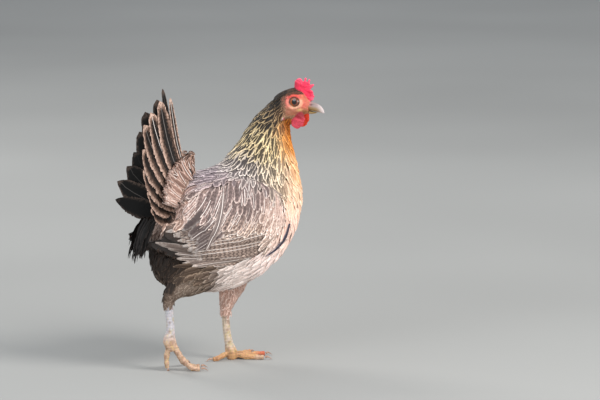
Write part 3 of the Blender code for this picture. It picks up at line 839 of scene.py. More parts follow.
# How the plumage looks round a spot of the body in side view. Lengths are in millimetres, and the
# heading is the angle that the feathers point, up from straight ahead. Streak, bars and shaft say
# how strongly a feather shows a dark centre, dark bars and a pale shaft; tip is 0 round, 1 pointed.
Zone = namedtuple("Zone", "x z reach heading length width spacing lift tip base edge dark "
                          "streak bars shaft", defaults=(0.0, 0.0))
BODY = (
    Zone(76, 352, 16, 226, 22, 6.6, 4.4, 3.6, 0.8, "6E5A40", "C8AE84", "0A0A09", 1.0),
    Zone(90, 370, 12, 215, 10, 4.0, 2.6, 1.8, 0.5, "140F0D", "3A2C24", "070606", 0.9),
    Zone(112, 376, 9, 200, 8, 3.4, 2.3, 1.2, 0.5, "4A3428", "8A6650", "1A120F", 0.6),
    Zone(90, 354, 8, 250, 10, 3.8, 2.6, 1.8, 0.6, "6A4C38", "A88868", "1E1612", 0.8),
    Zone(36, 322, 22, 232, 28, 8.6, 5.6, 4.2, 0.75, "CFB88E", "E6D0A4", "11100F", 1.0),
    Zone(64, 312, 18, 246, 28, 8.4, 5.6, 4.2, 0.75, "DCC494", "EFDBB0", "161413", 0.9),
    Zone(92, 316, 12, 264, 24, 7.0, 5.2, 4.0, 0.7, "E88E28", "FAB45C", "2A1D14", 0.45),
    Zone(108, 322, 14, 272, 22, 6.4, 4.8, 4.0, 0.7, "E87C0E", "FAA840", "8A4A10", 0.4),
    Zone(102, 342, 10, 268, 14, 4.6, 3.4, 3.0, 0.6, "B8641C", "E8902C", "2A190D", 0.5),
    Zone(30, 290, 20, 240, 30, 9.2, 6.2, 5.0, 0.7, "CFC2BC", "EAE0DA", "1A181E", 0.9),
    Zone(66, 280, 20, 258, 28, 8.6, 6.2, 5.0, 0.7, "DCC6AA", "F2E0C6", "25201F", 0.8, 0.0, 0.1),
    Zone(108, 285, 20, 272, 24, 8.4, 6.4, 5.0, 0.4, "FABA7C", "FFDEB0", "C07A48", 0.25, 0.0, 0.2),
    Zone(-12, 292, 22, 205, 26, 9.5, 6.8, 5.0, 0.4, "988C98", "D8CCD6", "3C3640", 0.7, 0.1, 0.4),
    Zone(-45, 290, 22, 200, 28, 9.0, 6.8, 5.0, 0.4, "B29C9A", "E8D8D4", "4A3E40", 0.6, 0.1, 0.6),
    Zone(-72, 268, 22, 212, 32, 8.5, 6.2, 5.0, 0.4, "D0AC9E", "F4DCD0", "7A5448", 0.50, 0.2, 0.9),
    Zone(-88, 225, 18, 216, 30, 8.5, 6.2, 5.0, 0.4, "C0A090", "F0DACE", "5A4238", 0.55, 0.2, 0.7),
    Zone(10, 248, 24, 264, 34, 11.5, 8.2, 5.0, 0.3, "94807C", "C4AAA0", "4A3E3E", 0.50, 0.3, 1.0),
    Zone(108, 246, 24, 266, 24, 9.4, 7.0, 5.0, 0.3, "F6D0AE", "FCE8D6", "D0987A", 0.30, 0.0, 0.3),
    Zone(92, 200, 26, 250, 26, 9.8, 7.2, 5.0, 0.3, "FAD8C6", "FFEEE4", "C8988A", 0.35, 0.1, 0.3),
    # The lower breast and the flank are a lighter cream: partly the feathers' own colour, partly painted
    # light bounced up from the floor.
    Zone(70, 152, 26, 214, 28, 10.5, 7.2, 5.0, 0.3, "FFEAE2", "FFF6F2", "D8B4AA", 0.25, 0.0, 0.1),
    Zone(22, 124, 26, 196, 28, 10.5, 7.0, 5.0, 0.5, "F6E6DE", "FFF4EE", "B09488", 0.30),
    # The rear belly under the wing is dark brown: partly its brown fluff, partly painted shadow under the
    # wing.
    Zone(-40, 118, 26, 196, 26, 9.5, 6.4, 5.0, 0.5, "625042", "96826F", "3A2C26", 0.40),
    Zone(-96, 142, 20, 226, 24, 8.0, 5.8, 5.0, 0.6, "2E231C", "4E3E34", "14100D", 0.50, 0.1, 0.0),
    Zone(-112, 185, 20, 250, 24, 7.0, 5.4, 5.0, 0.7, "261D18", "40322A", "0E0B09", 0.50),
)
WING = (
    Zone(60, 232, 24, 258, 22, 8.0, 5.6, 4.0, 0.4, "EDCFC0", "FFF2EA", "8A6A60", 0.5, 0.4, 0.5),
    Zone(20, 246, 22, 266, 30, 10.5, 7.0, 4.2, 0.3, "A8918C", "E6D0C6", "3C3030", 0.70, 0.3, 1.0),
    Zone(-30, 240, 22, 252, 32, 11.0, 7.4, 4.2, 0.3, "B29A94", "ECD8CE", "3C3030", 0.65, 0.5, 1.0),
    Zone(-66, 226, 20, 226, 32, 10.0, 7.0, 4.2, 0.3, "D8BCB0", "F8E8E0", "6A4A44", 0.50, 0.4, 0.8),
    Zone(64, 196, 22, 244, 22, 8.0, 5.4, 4.0, 0.4, "F4D8C8", "FFF4EC", "8A6E62", 0.5, 0.5, 0.3),
    Zone(26, 208, 22, 236, 26, 9.0, 6.0, 4.0, 0.4, "E6C8B4", "FCECE0", "54403A", 0.60, 0.7, 0.4),
    Zone(-20, 206, 24, 226, 32, 11.0, 7.4, 4.2, 0.3, "D4B6A6", "F8E2D6", "3C3230", 0.50, 0.8, 0.8),
    Zone(24, 176, 20, 212, 26, 8.6, 6.0, 4.0, 0.4, "EACFBC", "FDF0E6", "3A2E2E", 0.70, 0.7, 0.2),
    Zone(-72, 200, 20, 206, 32, 12.0, 8.0, 4.2, 0.2, "A4928E", "ECE0DC", "4A3E3E", 0.50, 0.6, 0.8),
)
THIGH = (
    Zone(-60, 138, 26, 222, 18, 7.0, 4.6, 3.2, 0.5, "7A695C", "B0A092", "52443A", 0.30),
    Zone(-92, 112, 14, 244, 13, 4.8, 3.4, 2.6, 0.6, "6A584C", "9C8A7C", "3A2E28", 0.40),
    Zone(34, 118, 26, 256, 13, 5.0, 3.6, 2.6, 0.3, "D2B0A2", "F2DED2", "8A6656", 0.50, 0.3, 0.0),
)


def plumage(points, zones):
    """What the zones say at each point: each one's share falls with its distance in side view."""
    at = np.array([(zone.x, zone.z) for zone in zones], float)
    reach = np.array([zone.reach for zone in zones], float)
    away = ((points[:, None, [0, 2]] - at) ** 2).sum(axis=2) / reach ** 2
    share = np.exp(away.min(axis=1, keepdims=True) - away)
    share /= share.sum(axis=1, keepdims=True)
    look = {}
    for field in Zone._fields[4:]:
        values = [getattr(zone, field) for zone in zones]
        values = np.array([rgb(v) if isinstance(v, str) else v for v in values])
        look[field] = share @ values
    headings = np.radians([zone.heading for zone in zones])
    flow = share @ np.stack([np.cos(headings), 0 * headings, np.sin(headings)], axis=1)
    look["flow"] = unit(flow)
    return look


def head_flow(points):
    """Feathers of the head lie back from the bill, and more downwards behind the face."""
    head = to_head(points)
    down = -0.04 - 0.07 * np.clip(-4 - head[:, 0], 0, 20) - 0.2 * np.clip(-15 - head[:, 2], 0, 20)
    outward = np.sign(head[:, 1]) * 0.25 * np.clip(head[:, 2] / 15, 0, 1)
    flow = np.stack([-np.ones(len(head)), outward, down], axis=1)
    return unit(turned(flow, HEAD_TURN))


def scatter(surface, allowed, spacing_at, rng, tries=9):
    """Roots all over the allowed faces, each at least its own spacing from the rest."""
    faces = np.flatnonzero(allowed)
    a, b, c = (surface.points[surface.triangles[faces, k]] for k in range(3))
    area = np.linalg.norm(np.cross(b - a, c - a), axis=1) / 2
    spacing = spacing_at((a + b + c) / 3)
    weight = area / spacing ** 2
    chosen = rng.choice(len(faces), int(weight.sum() * tries), p=weight / weight.sum())
    r, s = np.sqrt(rng.random(len(chosen)))[:, None], rng.random(len(chosen))[:, None]
    spots = a[chosen] * (1 - r) + b[chosen] * (r * (1 - s)) + c[chosen] * (r * s)
    spacing, size = spacing[chosen], spacing.max()
    grid, kept = {}, []
    cells = np.floor(spots / size).astype(int).tolist()
    for index, (spot, gap, (i, j, k)) in enumerate(zip(spots.tolist(), spacing.tolist(), cells)):
        crowded = any(
            (spot[0] - x) ** 2 + (spot[1] - y) ** 2 + (spot[2] - z) ** 2 < gap * gap
            for di in (-1, 0, 1) for dj in (-1, 0, 1) for dk in (-1, 0, 1)
            for x, y, z in grid.get((i + di, j + dj, k + dk), ()))
        if not crowded:
            grid.setdefault((i, j, k), []).append(spot)
            kept.append(index)
    return spots[kept]


# A vane's columns across, from one edge to the other, with the shaft in the middle, and the few of
# them that its under side has. WIDEST is how far along a round vane is widest.
COLUMNS = np.array([-1, -0.6, -0.13, 0, 0.13, 0.6, 1])
UNDER = [0, 3, 6]
WIDEST = 0.42
PATCH = 0.003


def outline(t, tip):
    """Half the width of a feather along its length, as a share of the widest: round to pointed."""
    blunt = np.sqrt(np.clip(1 - ((t - WIDEST) / 0.585) ** 2, 0, 1)) ** 0.8
    blunt = np.where(t < WIDEST, np.maximum(blunt, 0.35 + 1.5 * t), blunt)
    sharp = np.clip(t * 3.4, 0.3, 1) * np.clip((1.01 - t) / 0.62, 0, 1) ** 0.75
    return np.clip(blunt * (1 - tip) + sharp * tip, 0.03, 1)


def march(surface, roots, flow, length, rows, hold=0.45):
    """Each feather's midline over the surface: points and normals, rows + 1 of each."""
    heading = None
    middles, normals = [], []
    spots = roots
    for _ in range(rows + 1):
        spots, normal = surface.nearest(spots)
        wanted = flow(spots)
        heading = wanted if heading is None else heading * hold + wanted * (1 - hold)
        heading = unit(heading - normal * (heading * normal).sum(axis=1, keepdims=True))
        middles.append(spots)
        normals.append(normal)
        spots = spots + heading * (length / rows)[:, None]
    return np.stack(middles, axis=1), np.stack(normals, axis=1)


def quads_of(rows, top, wide):
    """The faces of a feather whose rows hold `top` points of its upper side, then those of its under side."""
    quads = []
    for row in range(0, (rows - 1) * wide, wide):
        quads += [(a, a + 1, a + wide + 1, a + wide) for a in range(row, row + top - 1)]
        quads += [(a, a + wide, a + wide + 1, a + 1) for a in range(row + top, row + wide - 1)]
    return np.array(quads)


def vanes(surface, middle, normal, look, rng, fray=0.10, sweep=0.35, camber=0.22, thick=0.35,
          floor=0.6, curl=0.0, conform=True):
    """Closed thin feathers over midlines. look holds each one's sizes, colours and patterns."""
    count, rows = middle.shape[:2]
    t = np.linspace(0, 1, rows)[None, :]
    tangent = unit(np.gradient(middle, axis=1))
    aside = unit(np.cross(normal, tangent))
    half = look["width"][:, None] / 2 * outline(t, look["tip"][:, None])
    ragged = 1 - fray * rng.random((count, rows, 2)) ** 2 * 2.2 * smoothstep(0.2, 0.6, t)[..., None]
    if conform:
        left, left_normal = surface.nearest(middle - aside * half[..., None])
        right, right_normal = surface.nearest(middle + aside * half[..., None])
    else:
        left, right = middle - aside * half[..., None], middle + aside * half[..., None]
        left_normal = right_normal = normal
    s = COLUMNS[None, None, :, None]
    width = np.where(s < 0, ragged[..., 0][:, :, None, None], ragged[..., 1][:, :, None, None])
    s_used = s * width
    base = (middle[:, :, None] + (right - left)[:, :, None] / 2 * s_used
            + ((left + right) / 2 - middle)[:, :, None] * s_used ** 2)
    up = unit(normal[:, :, None] + (right_normal - left_normal)[:, :, None] / 2 * s
              + ((left_normal + right_normal) / 2 - normal)[:, :, None] * s ** 2)
    rise = floor + np.maximum(look["lift"][:, None] - floor, 0.3) * t ** 0.8
    rise = rise + curl * look["width"][:, None] * smoothstep(0.7, 1.0, t) * rng.random((count, 1))
    height = rise[..., None, None] + camber * half[..., None, None] * (1 - s ** 2)
    height = height + np.where(s == 0, 0.22, 0.0) * np.minimum(half / 3, 1)[..., None, None]
    swept = tangent[:, :, None] * (np.abs(s) * half[..., None, None] * sweep) * smoothstep(
        1.0, 0.75, t)[..., None, None]
    top = base + up * height + swept
    under = top[:, :, UNDER].copy()
    under[:, :, 1] -= normal * thick
    points = np.concatenate([top, under], axis=2).reshape(-1, 3)
    wide = len(COLUMNS) + len(UNDER)
    columns = np.concatenate([COLUMNS, COLUMNS[UNDER]])
    vane = np.empty((count, rows, wide, 3))
    vane[..., 0], vane[..., 1] = t[..., None], columns
    vane[..., 2] = rng.random((count, 1, 1))
    lay = np.zeros_like(vane)
    length = np.linalg.norm(np.diff(middle, axis=1), axis=2).sum(axis=1)
    lay[..., 0], lay[..., 1] = (t * length[:, None])[..., None], columns * half[..., None]
    per_point = {"vane": vane.reshape(-1, 3), "lay": lay.reshape(-1, 3)}
    pattern = np.stack([look["streak"], look["bars"], look["shaft"]], axis=1)
    for key, values in (("base", look["base"]), ("edge", look["edge"]), ("dark", look["dark"]),
                        ("pattern", pattern)):
        per_point[key] = np.repeat(values, rows * wide, axis=0)
    faces = quads_of(rows, len(COLUMNS), wide)[None] + (np.arange(count) * rows * wide)[:, None, None]
    return points, faces.reshape(-1, 4), per_point


def patch_map(roots, unwrap, vane, per_feather, size=PATCH):
    """Each feather's small patch, at its root's place on the unwrapped surface."""
    at = np.repeat(unwrap(roots), per_feather, axis=0)
    return at + np.stack([vane[:, 1] * size / 2, (vane[:, 0] - 0.5) * size], axis=1)


def round_body(points):
    """The body unrolled: round its length, and along it from the rump to the bill."""
    middle_z = np.interp(points[:, 0], (-130, 0, 80, 105), (190, 200, 240, 330))
    around = np.arctan2(points[:, 1], points[:, 2] - middle_z) / (2 * math.pi) + 0.5
    along = (points[:, 0] + 0.9 * np.maximum(points[:, 2] - 250, 0) + 150) / 380
    return np.stack([0.02 + 0.96 * around, np.clip(0.02 + 0.96 * along, 0.01, 0.99)], axis=1)


def flat_side(points):
    """A side of the body laid flat: length across, height up."""
    u = (points[:, 0] + 160) / 300
    v = (points[:, 2] + 20) / 440
    return np.clip(np.stack([u, v], axis=1), 0.01, 0.99)


def varied(look, rng, amount=0.12):
    """The same looks with each feather's sizes and shade a little off its neighbours'."""
    look = dict(look)
    count = len(look["length"])
    for key in ("length", "width", "lift"):
        look[key] = look[key] * (1 + amount * rng.normal(size=count).clip(-2, 2))
    shade = 1 + 0.6 * amount * rng.normal(size=(count, 1))
    for key in ("base", "edge", "dark"):
        look[key] = look[key] * shade
    return look


CLOSER = 0.8  # the feathers' spacing, as a share of what the zones say


def add_coat(name, surface, allowed, zones, rng, material, slot, unwrap, rows=9, replaces=(), flow=None,
             messy=0.09, **shape):
    """One coat piece: feathers over the allowed faces, with what the zones say of each."""
    roots = scatter(surface, allowed, lambda points: plumage(points, zones)["spacing"] * CLOSER, rng)
    look = varied(plumage(roots, zones), rng)
    lean = rng.normal(size=roots.shape) * messy
    lie = flow or (lambda points: plumage(points, zones)["flow"])
    middle, normal = march(surface, roots, lambda spots: unit(lie(spots) + lean), look["length"], rows - 1)
    points, faces, per_point = vanes(surface, middle, normal, look, rng, **shape)
    patches = patch_map(roots, unwrap, per_point["vane"], len(points) // len(roots))
    coat = mesh_object(name, points, faces, per_point, patches)
    print(f"{name}: {len(roots)} feathers, {len(faces) * 2} triangles")
    return finish_piece(coat, material, replaces)


# ---------------------------------------------------------------- wings and tail

def look_of(count, base, edge, dark, streak=0.5, bars=0.0, shaft=0.0, width=10.0, lift=1.0, tip=0.3):
    """Feathers that all look the same. A size may also be given for each of them."""
    look = {"base": plain(base, count), "edge": plain(edge, count),
            "dark": plain(dark, count)}
    for key, value in (("streak", streak), ("bars", bars), ("shaft", shaft), ("width", width),
                       ("lift", lift), ("tip", tip)):
        look[key] = np.broadcast_to(np.asarray(value, float), (count,)).copy()
    return look


def islands(vane, count, per_feather, corner, size):
    """Each large feather's own place on the map, in a grid from a corner."""
    across = math.ceil(math.sqrt(count))
    index = np.repeat(np.arange(count), per_feather)
    cell = size / across
    u = corner[0] + cell * (index % across + 0.5 + vane[:, 1] * 0.2)
    v = corner[1] + cell * (index // across + 0.1 + vane[:, 0] * 0.8)
    return np.stack([u, v], axis=1)


# A row of a wing's long feathers, from the lowest up. In side view, as (x, z), the first feather runs
# from first to first_tip and the last one from last to last_tip. lift is their height above the skin.
Row = namedtuple("Row", "first first_tip last last_tip count width lift base edge dark streak bars")
FLIGHT_ROWS = (
    Row((26, 163), (-118, 186), (20, 160), (-70, 151), 7, 13, (0.8, 1.8),
        "B8A499", "E2D2C8", "5A4C46", 0.6, 0.3),
    Row((44, 160), (-50, 149), (34, 216), (-100, 200), 15, 13, (1.4, 3.6),
        "E6CBBA", "FFF2EA", "40322F", 0.65, 0.7),
    Row((-14, 216), (-62, 176), (-36, 236), (-80, 200), 5, 14, (3.6, 4.6),
        "A28E88", "E0D2CC", "4A3E3E", 0.6, 0.5),
)
# The dark feather along the wing's front edge, and the long one that crosses the wing.
LEADING_EDGE = ((78, 200), (71, 182), (58, 169), (38, 160))
TERTIAL = ((-21, 246), (-32, 214), (-52, 172))


def side_line(surface, xz, side, rows):
    """A smooth line over one side of the surface, through points given in side view."""
    line = smooth_curve(np.asarray(xz, float), rows)
    return surface.from_side(line, side)


def add_flight_feathers(surface, side_name, side, rng, material):
    rows = 22
    lines, looks = [], []
    for row in FLIGHT_ROWS:
        for u in np.linspace(0, 1, row.count):
            root = np.array(row.first) * (1 - u) + np.array(row.last) * u
            tip = np.array(row.first_tip) * (1 - u) + np.array(row.last_tip) * u + rng.normal(size=2) * 1.5
            bend = (root + tip) / 2 + (0, -4 + 5 * u)
            lines.append(side_line(surface, (root, bend, tip), side, rows))
            height = row.lift[0] + (row.lift[1] - row.lift[0]) * u
            looks.append(look_of(1, row.base, row.edge, row.dark, row.streak, row.bars, 0.8, row.width,
                                 height, 0.25))
    for line, width, height, base, edge, dark, shaft in (
            (LEADING_EDGE, 9, 6.2, "5E5866", "A0949E", "26222A", 0.0),
            (TERTIAL, 13, 5.4, "8E7E78", "B8A69E", "5E5250", 1.0)):
        lines.append(side_line(surface, line, side, rows))
        looks.append(look_of(1, base, edge, dark, 0.6, 0.3, shaft, width, height, 0.5))
    look = {key: np.concatenate([one[key] for one in looks]) for key in looks[0]}
    middles, normals = (np.stack(arrays) for arrays in zip(*lines))
    points, faces, per_point = vanes(surface, middles, normals, look, rng, fray=0.1,
                                     floor=look["lift"][:, None] * 0.75, camber=0.12)
    rear = 1 - 0.62 * smoothstep(-28, -62, points[:, 0]) * smoothstep(150, 166, points[:, 2])
    for key in ("base", "edge"):
        per_point[key] = per_point[key] * rear[:, None]
    patches = islands(per_point["vane"], len(lines), len(points) // len(lines), (0.0, 0.0), 0.5)
    name = f"flight_{side_name}"
    finish_piece(mesh_object(name, points, faces, per_point, patches), material,
                 nodes_like(f"wing_{side_name}"))


# Where the tail fans out from, in side view, and each side's base, edge and dark colours, streak
# and shaft. The right side is brown with pale edges, and the left side nearly black.
TAIL_AT = np.array([-49.0, 212.0])
TAIL_LOOKS = {
    "right": ("5A453A", "C0A292", "0A0807", 0.95, 0.9),
    "left": ("0C0A09", "54463E", "040404", 0.95, 0.1),
}


def blade(name, side, rng, rows=54, across=11):
    """A long tail feather over its solid: a grid of points on its outer face, frayed at the edges."""
    surface = Surface(*solid(name))
    xz = surface.points[:, [0, 2]] - TAIL_AT
    far, angle = np.hypot(*xz.T), np.arctan2(xz[:, 1], xz[:, 0])
    steps = np.linspace(far.min() + 0.5, far.max() - 2.0, rows)
    low, high = np.empty(rows), np.empty(rows)
    ends = edges_of(surface.triangles)
    a, b = xz[ends[:, 0]], xz[ends[:, 1]]
    far_a, far_b = np.hypot(*a.T), np.hypot(*b.T)
    for k, step in enumerate(steps):
        crossing = (far_a - step) * (far_b - step) <= 0
        share = ((step - far_a) / np.where(np.abs(far_b - far_a) < 1e-6, 1e-6, far_b - far_a))[crossing]
        spot = a[crossing] + (b - a)[crossing] * np.clip(share, 0, 1)[:, None]
        turn = np.arctan2(spot[:, 1], spot[:, 0])
        turn = np.where(turn < 0, turn + 2 * math.pi, turn)
        low[k], high[k] = turn.min(), turn.max()
    middle, half = (low + high) / 2, (high - low) / 2
    t = np.linspace(0, 1, rows)
    s = np.linspace(-1, 1, across)
    tooth = rng.random((rows, 2))
    ragged = 1.04 - 0.17 * tooth ** 4 * smoothstep(0.1, 0.4, t)[:, None]
    tip = np.sqrt(np.clip(1 - (np.clip(t - 0.93, 0, 1) / 0.071) ** 2, 0.03, 1))
    edge = np.where(s[None] < 0, ragged[:, :1], ragged[:, 1:])
    reach = (1 + (edge - 1) * s[None] ** 6) * s[None] * (half * tip)[:, None]
    turn = middle[:, None] + reach
    out = steps[:, None] - np.abs(s[None]) * 3.0 * smoothstep(1, 0.8, t)[:, None]
    out = np.maximum(out, steps[0])
    flat = np.stack([TAIL_AT[0] + out * np.cos(turn), TAIL_AT[1] + out * np.sin(turn)], axis=-1)
    most = 0.94 * half[:, None]
    held = middle[:, None] + np.clip(reach, -most, most)
    inside = np.stack([TAIL_AT[0] + out * np.cos(held), TAIL_AT[1] + out * np.sin(held)], axis=-1)
    spots, _ = surface.from_side(inside.reshape(-1, 2), side)
    spots = spots.reshape(rows, across, 3)
    spots[..., 0], spots[..., 2] = flat[..., 0], flat[..., 1]
    spots[..., 1] = side * np.abs(spots[..., 1])
    crease = 0.35 * np.exp(-(s / 0.12) ** 2) + 0.3 * (1 - s ** 2)
    top = spots + np.array([0, side, 0]) * crease[None, :, None]
    under = spots[:, ::5] - np.array([0, side * 0.25, 0])
    return top, under, t, s, steps, half * steps


def add_tail(side_name, side, rng, material):
    """One side's long tail feathers, each in the place of its solid."""
    names = nodes_like(f"tail_{side_name}_", f"sickle_{side_name}")
    parts, faces, per_point, patches, start = [], [], {}, [], 0
    base, edge, dark, streak, shaft = TAIL_LOOKS[side_name]
    for index, name in enumerate(names):
        top, under, t, s, steps, half = blade(name, side, rng)
        rows, across = top.shape[:2]
        grid = np.concatenate([top, under], axis=1)
        wide = grid.shape[1]
        parts.append(grid.reshape(-1, 3))
        columns = np.concatenate([s, s[::5]])
        vane = np.empty((rows, wide, 3))
        vane[..., 0], vane[..., 1], vane[..., 2] = t[:, None], columns, rng.random()
        lay = np.zeros((rows, wide, 3))
        lay[..., 0], lay[..., 1] = (steps - steps[0])[:, None], columns * half[:, None]
        pale_shaft = shaft * rng.uniform(0.5, 1.0)
        tint = 1 + 0.12 * rng.normal()
        look = {"base": rgb(base) * tint, "edge": rgb(edge) * tint, "dark": rgb(dark),
                "pattern": np.array([streak, 0.0, pale_shaft])}
        look["vane"], look["lay"] = vane.reshape(-1, 3), lay.reshape(-1, 3)
        for key, value in look.items():
            value = value if value.ndim > 1 else np.tile(value, (rows * wide, 1))
            per_point.setdefault(key, []).append(value)
        quads = quads_of(rows, across, wide) + start
        faces.append(quads if side < 0 else quads[:, ::-1])
        flat_vane = vane.reshape(-1, 3)
        patches.append(np.stack([0.03 + index * 0.1 + flat_vane[:, 1] * 0.03,
                                 0.55 + flat_vane[:, 0] * 0.4], axis=1))
        start += rows * wide
    per_point = {key: np.vstack(values) for key, values in per_point.items()}
    tail = mesh_object(f"tail_feathers_{side_name}", np.vstack(parts), np.vstack(faces), per_point,
                       np.vstack(patches))
    finish_piece(tail, material, names)


COVERT = (
    Zone(-62, 290, 16, 104, 30, 8.0, 5.2, 3.0, 0.7, "7A5C4E", "C4A08C", "2A1E1A", 0.7, 0.1, 0.9),
    Zone(-78, 280, 16, 112, 34, 9.0, 5.6, 3.0, 0.6, "6E5346", "B8968A", "221815", 0.8, 0.1, 0.9),
    Zone(-68, 258, 16, 140, 32, 9.0, 5.6, 3.0, 0.5, "A88678", "DCBEB0", "523A32", 0.5, 0.1, 1.0),
    Zone(-92, 255, 16, 150, 36, 9.0, 5.6, 3.0, 0.5, "9A7A6C", "E0C6BA", "3A2924", 0.6, 0.1, 1.0),
    Zone(-80, 232, 16, 176, 36, 9.0, 5.6, 3.0, 0.4, "C0A092", "F0DCD2", "7A5A50", 0.4, 0.1, 1.0),
)
WISPS = 46  # how many feathers hang under the tail


def add_undertail(rng, material):
    """Loose black feathers that hang below the tail, from round its root."""
    rows = 16
    t = np.linspace(0, 1, rows)[None, :, None]
    across = rng.uniform(-1, 1, WISPS)
    back = rng.random(WISPS)
    root = np.stack([-102 - 14 * back, 12 * across, 213 - 8 * rng.random(WISPS)], axis=1)
    tip = np.stack([-117 - 20 * back, 14 * across, 151 + 26 * rng.random(WISPS)], axis=1)
    bend = (root + tip) / 2 + np.array([-4.0, 0, 4.0])
    middle = (1 - t) ** 2 * root[:, None] + 2 * t * (1 - t) * bend[:, None] + t ** 2 * tip[:, None]
    outward = unit(np.stack([-0.5 + 0 * back, np.sign(across) * 0.8, 0 * back], axis=1))
    normal = np.repeat(outward[:, None], rows, axis=1)
    look = look_of(WISPS, "15110F", "2E2623", "060505", 0.8, 0.0, 0.0, rng.uniform(5, 9, WISPS), 0.6, 0.75)
    points, faces, per_point = vanes(None, middle, normal, look, rng, fray=0.4, conform=False)
    patches = islands(per_point["vane"], WISPS, len(points) // WISPS, (0.5, 0.0), 0.5)
    finish_piece(mesh_object("undertail_wisps", points, faces, per_point, patches), material,
                 ["undertail"])


def add_tail_coverts(rng, material):
    """Short feathers that spread over the tail's foot, standing up along its front."""
    for side_name, side in SIDES:
        name = f"tail_coverts_{side_name}"
        surface = Surface(*solid(name))
        points, triangles = surface.points, surface.triangles
        a, b, c = (points[triangles[:, k]] for k in range(3))
        outward = unit(np.cross(b - a, c - a))[:, 1] * side > 0.2
        add_coat(f"coat_covert_{side_name}", surface, outward, COVERT, rng, material, "tail_covert",
                 flat_side, rows=12, replaces=[name], fray=0.3, curl=0.25, camber=0.1, messy=0.28)
    surface = Surface(*solid("tail_saddle"))
    add_coat("coat_saddle", surface, np.ones(len(surface.triangles), bool), COVERT, rng, material,
             "tail_covert", flat_side, rows=10, replaces=["tail_saddle"], fray=0.3, messy=0.25)


# ---------------------------------------------------------------- eyes, bill and claws

# The radii of pupil and iris, and a nostril's place in the head's frame.
PUPIL, IRIS = 3.4, 6.2
NOSTRIL = (21.0, 4.6, -4.6)


def add_eyes():
    points, triangles = ball(40, 56)
    for side_name, side in SIDES:
        placed = points * EYE_RADII + (EYE_CENTRE[0], side * EYE_CENTRE[1], EYE_CENTRE[2])
        spot = np.stack([placed[:, 0] - EYE_CENTRE[0] - 0.5, placed[:, 2] - EYE_CENTRE[2],
                         0 * placed[:, 0]], axis=1)
        eye = mesh_object(f"eyeball_{side_name}", from_head(placed), triangles, {"spot": spot})
        paint = Paint(f"eye_{side_name}", 0.12, 0.5)
        across, up, _ = paint.parts(paint.attribute("spot"))
        far = paint.math("SQRT", paint.plus(paint.times(across, across),
                                            paint.times(up, up)))
        turn = paint.math("ARCTAN2", up, across)
        rays = paint.noise(1.0, 3.0, paint.vector(paint.times(turn, 7.0),
                                                  paint.times(far, 0.5), 3.0))
        iris = paint.mix(rays, rgb("3E1E14"), rgb("8A4A2E"))
        iris = paint.mix(paint.step(0.5, -5.0, across), iris, rgb("A8582C"))
        colour = paint.mix(paint.step(PUPIL + 0.5, PUPIL - 0.2, far), iris, rgb("060507"))
        colour = paint.mix(paint.step(IRIS - 0.4, IRIS + 0.4, far), colour, rgb("22120E"))
        paint.shader.inputs["Coat Weight"].default_value = 0.6
        paint.shader.inputs["Coat Roughness"].default_value = 0.03
        finish_piece(eye, paint.colour(colour), [f"eye_{side_name}"])


def smooth_solid(names, voxel, rounds):
    points, triangles = joined([solid(name) for name in names])
    points, triangles = melted(points, triangles, voxel)
    return spread(points, triangles, rounds), triangles


def add_bill():
    for name in ("beak_upper", "beak_lower"):
        points, triangles = smooth_solid([name], 0.35, 10)
        head = to_head(points)
        side = either_side(head)
        colours = plain("94827F", len(head))
        tip = smoothstep(27, 38, head[:, 0])
        # Paler towards the tip: partly the horn's paler tip, partly a painted highlight.
        colours = blend(colours, "C2B4B2", tip)
        if name == "beak_upper":
            low = head[:, 2] + 0.16 * (head[:, 0] - 20)
            colours = blend(colours, "8C6E3E", smoothstep(-5.0, -9.5, low) * (1 - tip) * 0.9)
            # Near-black along the upper bill's lower rim: painted shade in the gape between the bill's
            # halves.
            colours = blend(colours, "3A2818", smoothstep(-12.8, -14.0, low) * (1 - tip))
            hole = np.exp(-(((side - NOSTRIL) / (2.8, 3.0, 1.3)) ** 2).sum(axis=1))
            points = pushed(points, triangles, -0.9 * hole)
            # The nostril's dent is painted dark: painted shade inside the opening.
            colours *= (1 - 0.85 * hole)[:, None]
            colours = tinted(colours, side, (18, 5, -2), (3, 6, 6), "D06A62", 0.7)
            base = smoothstep(27, 18, head[:, 0]) * smoothstep(-5, -11, head[:, 2])
            colours = blend(colours, "7A5E34", base * 0.85)
        else:
            # Paler towards the tip, as on the upper bill: partly paler horn, partly a painted highlight.
            colours = blend(plain("9A7C4C", len(head)), "CFC4BE", tip)
        paint = Paint(name, 0.45, 0.4)
        grain = paint.noise(700, 3)
        lit = paint.plus(0.82, paint.times(grain, 0.36))
        paint.bump(grain, 0.2, 0.0004)
        material = paint.colour(paint.shade(paint.attribute("base"), lit))
        bill = mesh_object(name.replace("beak", "bill"), points, triangles, {"base": colours})
        finish_piece(bill, material, [name])


def add_claws():
    names = nodes_like("claw")
    points, triangles = smooth_solid(names, 0.32, 5)
    points[:, 2] = np.maximum(points[:, 2], 0)
    paint = Paint("claw", 0.38, 0.45)
    grain = paint.noise(500, 3)
    colour = paint.mix(grain, rgb("7E5C4C"), rgb("C2A08C"))
    paint.bump(grain, 0.2, 0.0004)
    finish_piece(mesh_object("claws", points, triangles), paint.colour(colour), names)


# ---------------------------------------------------------------- the hen

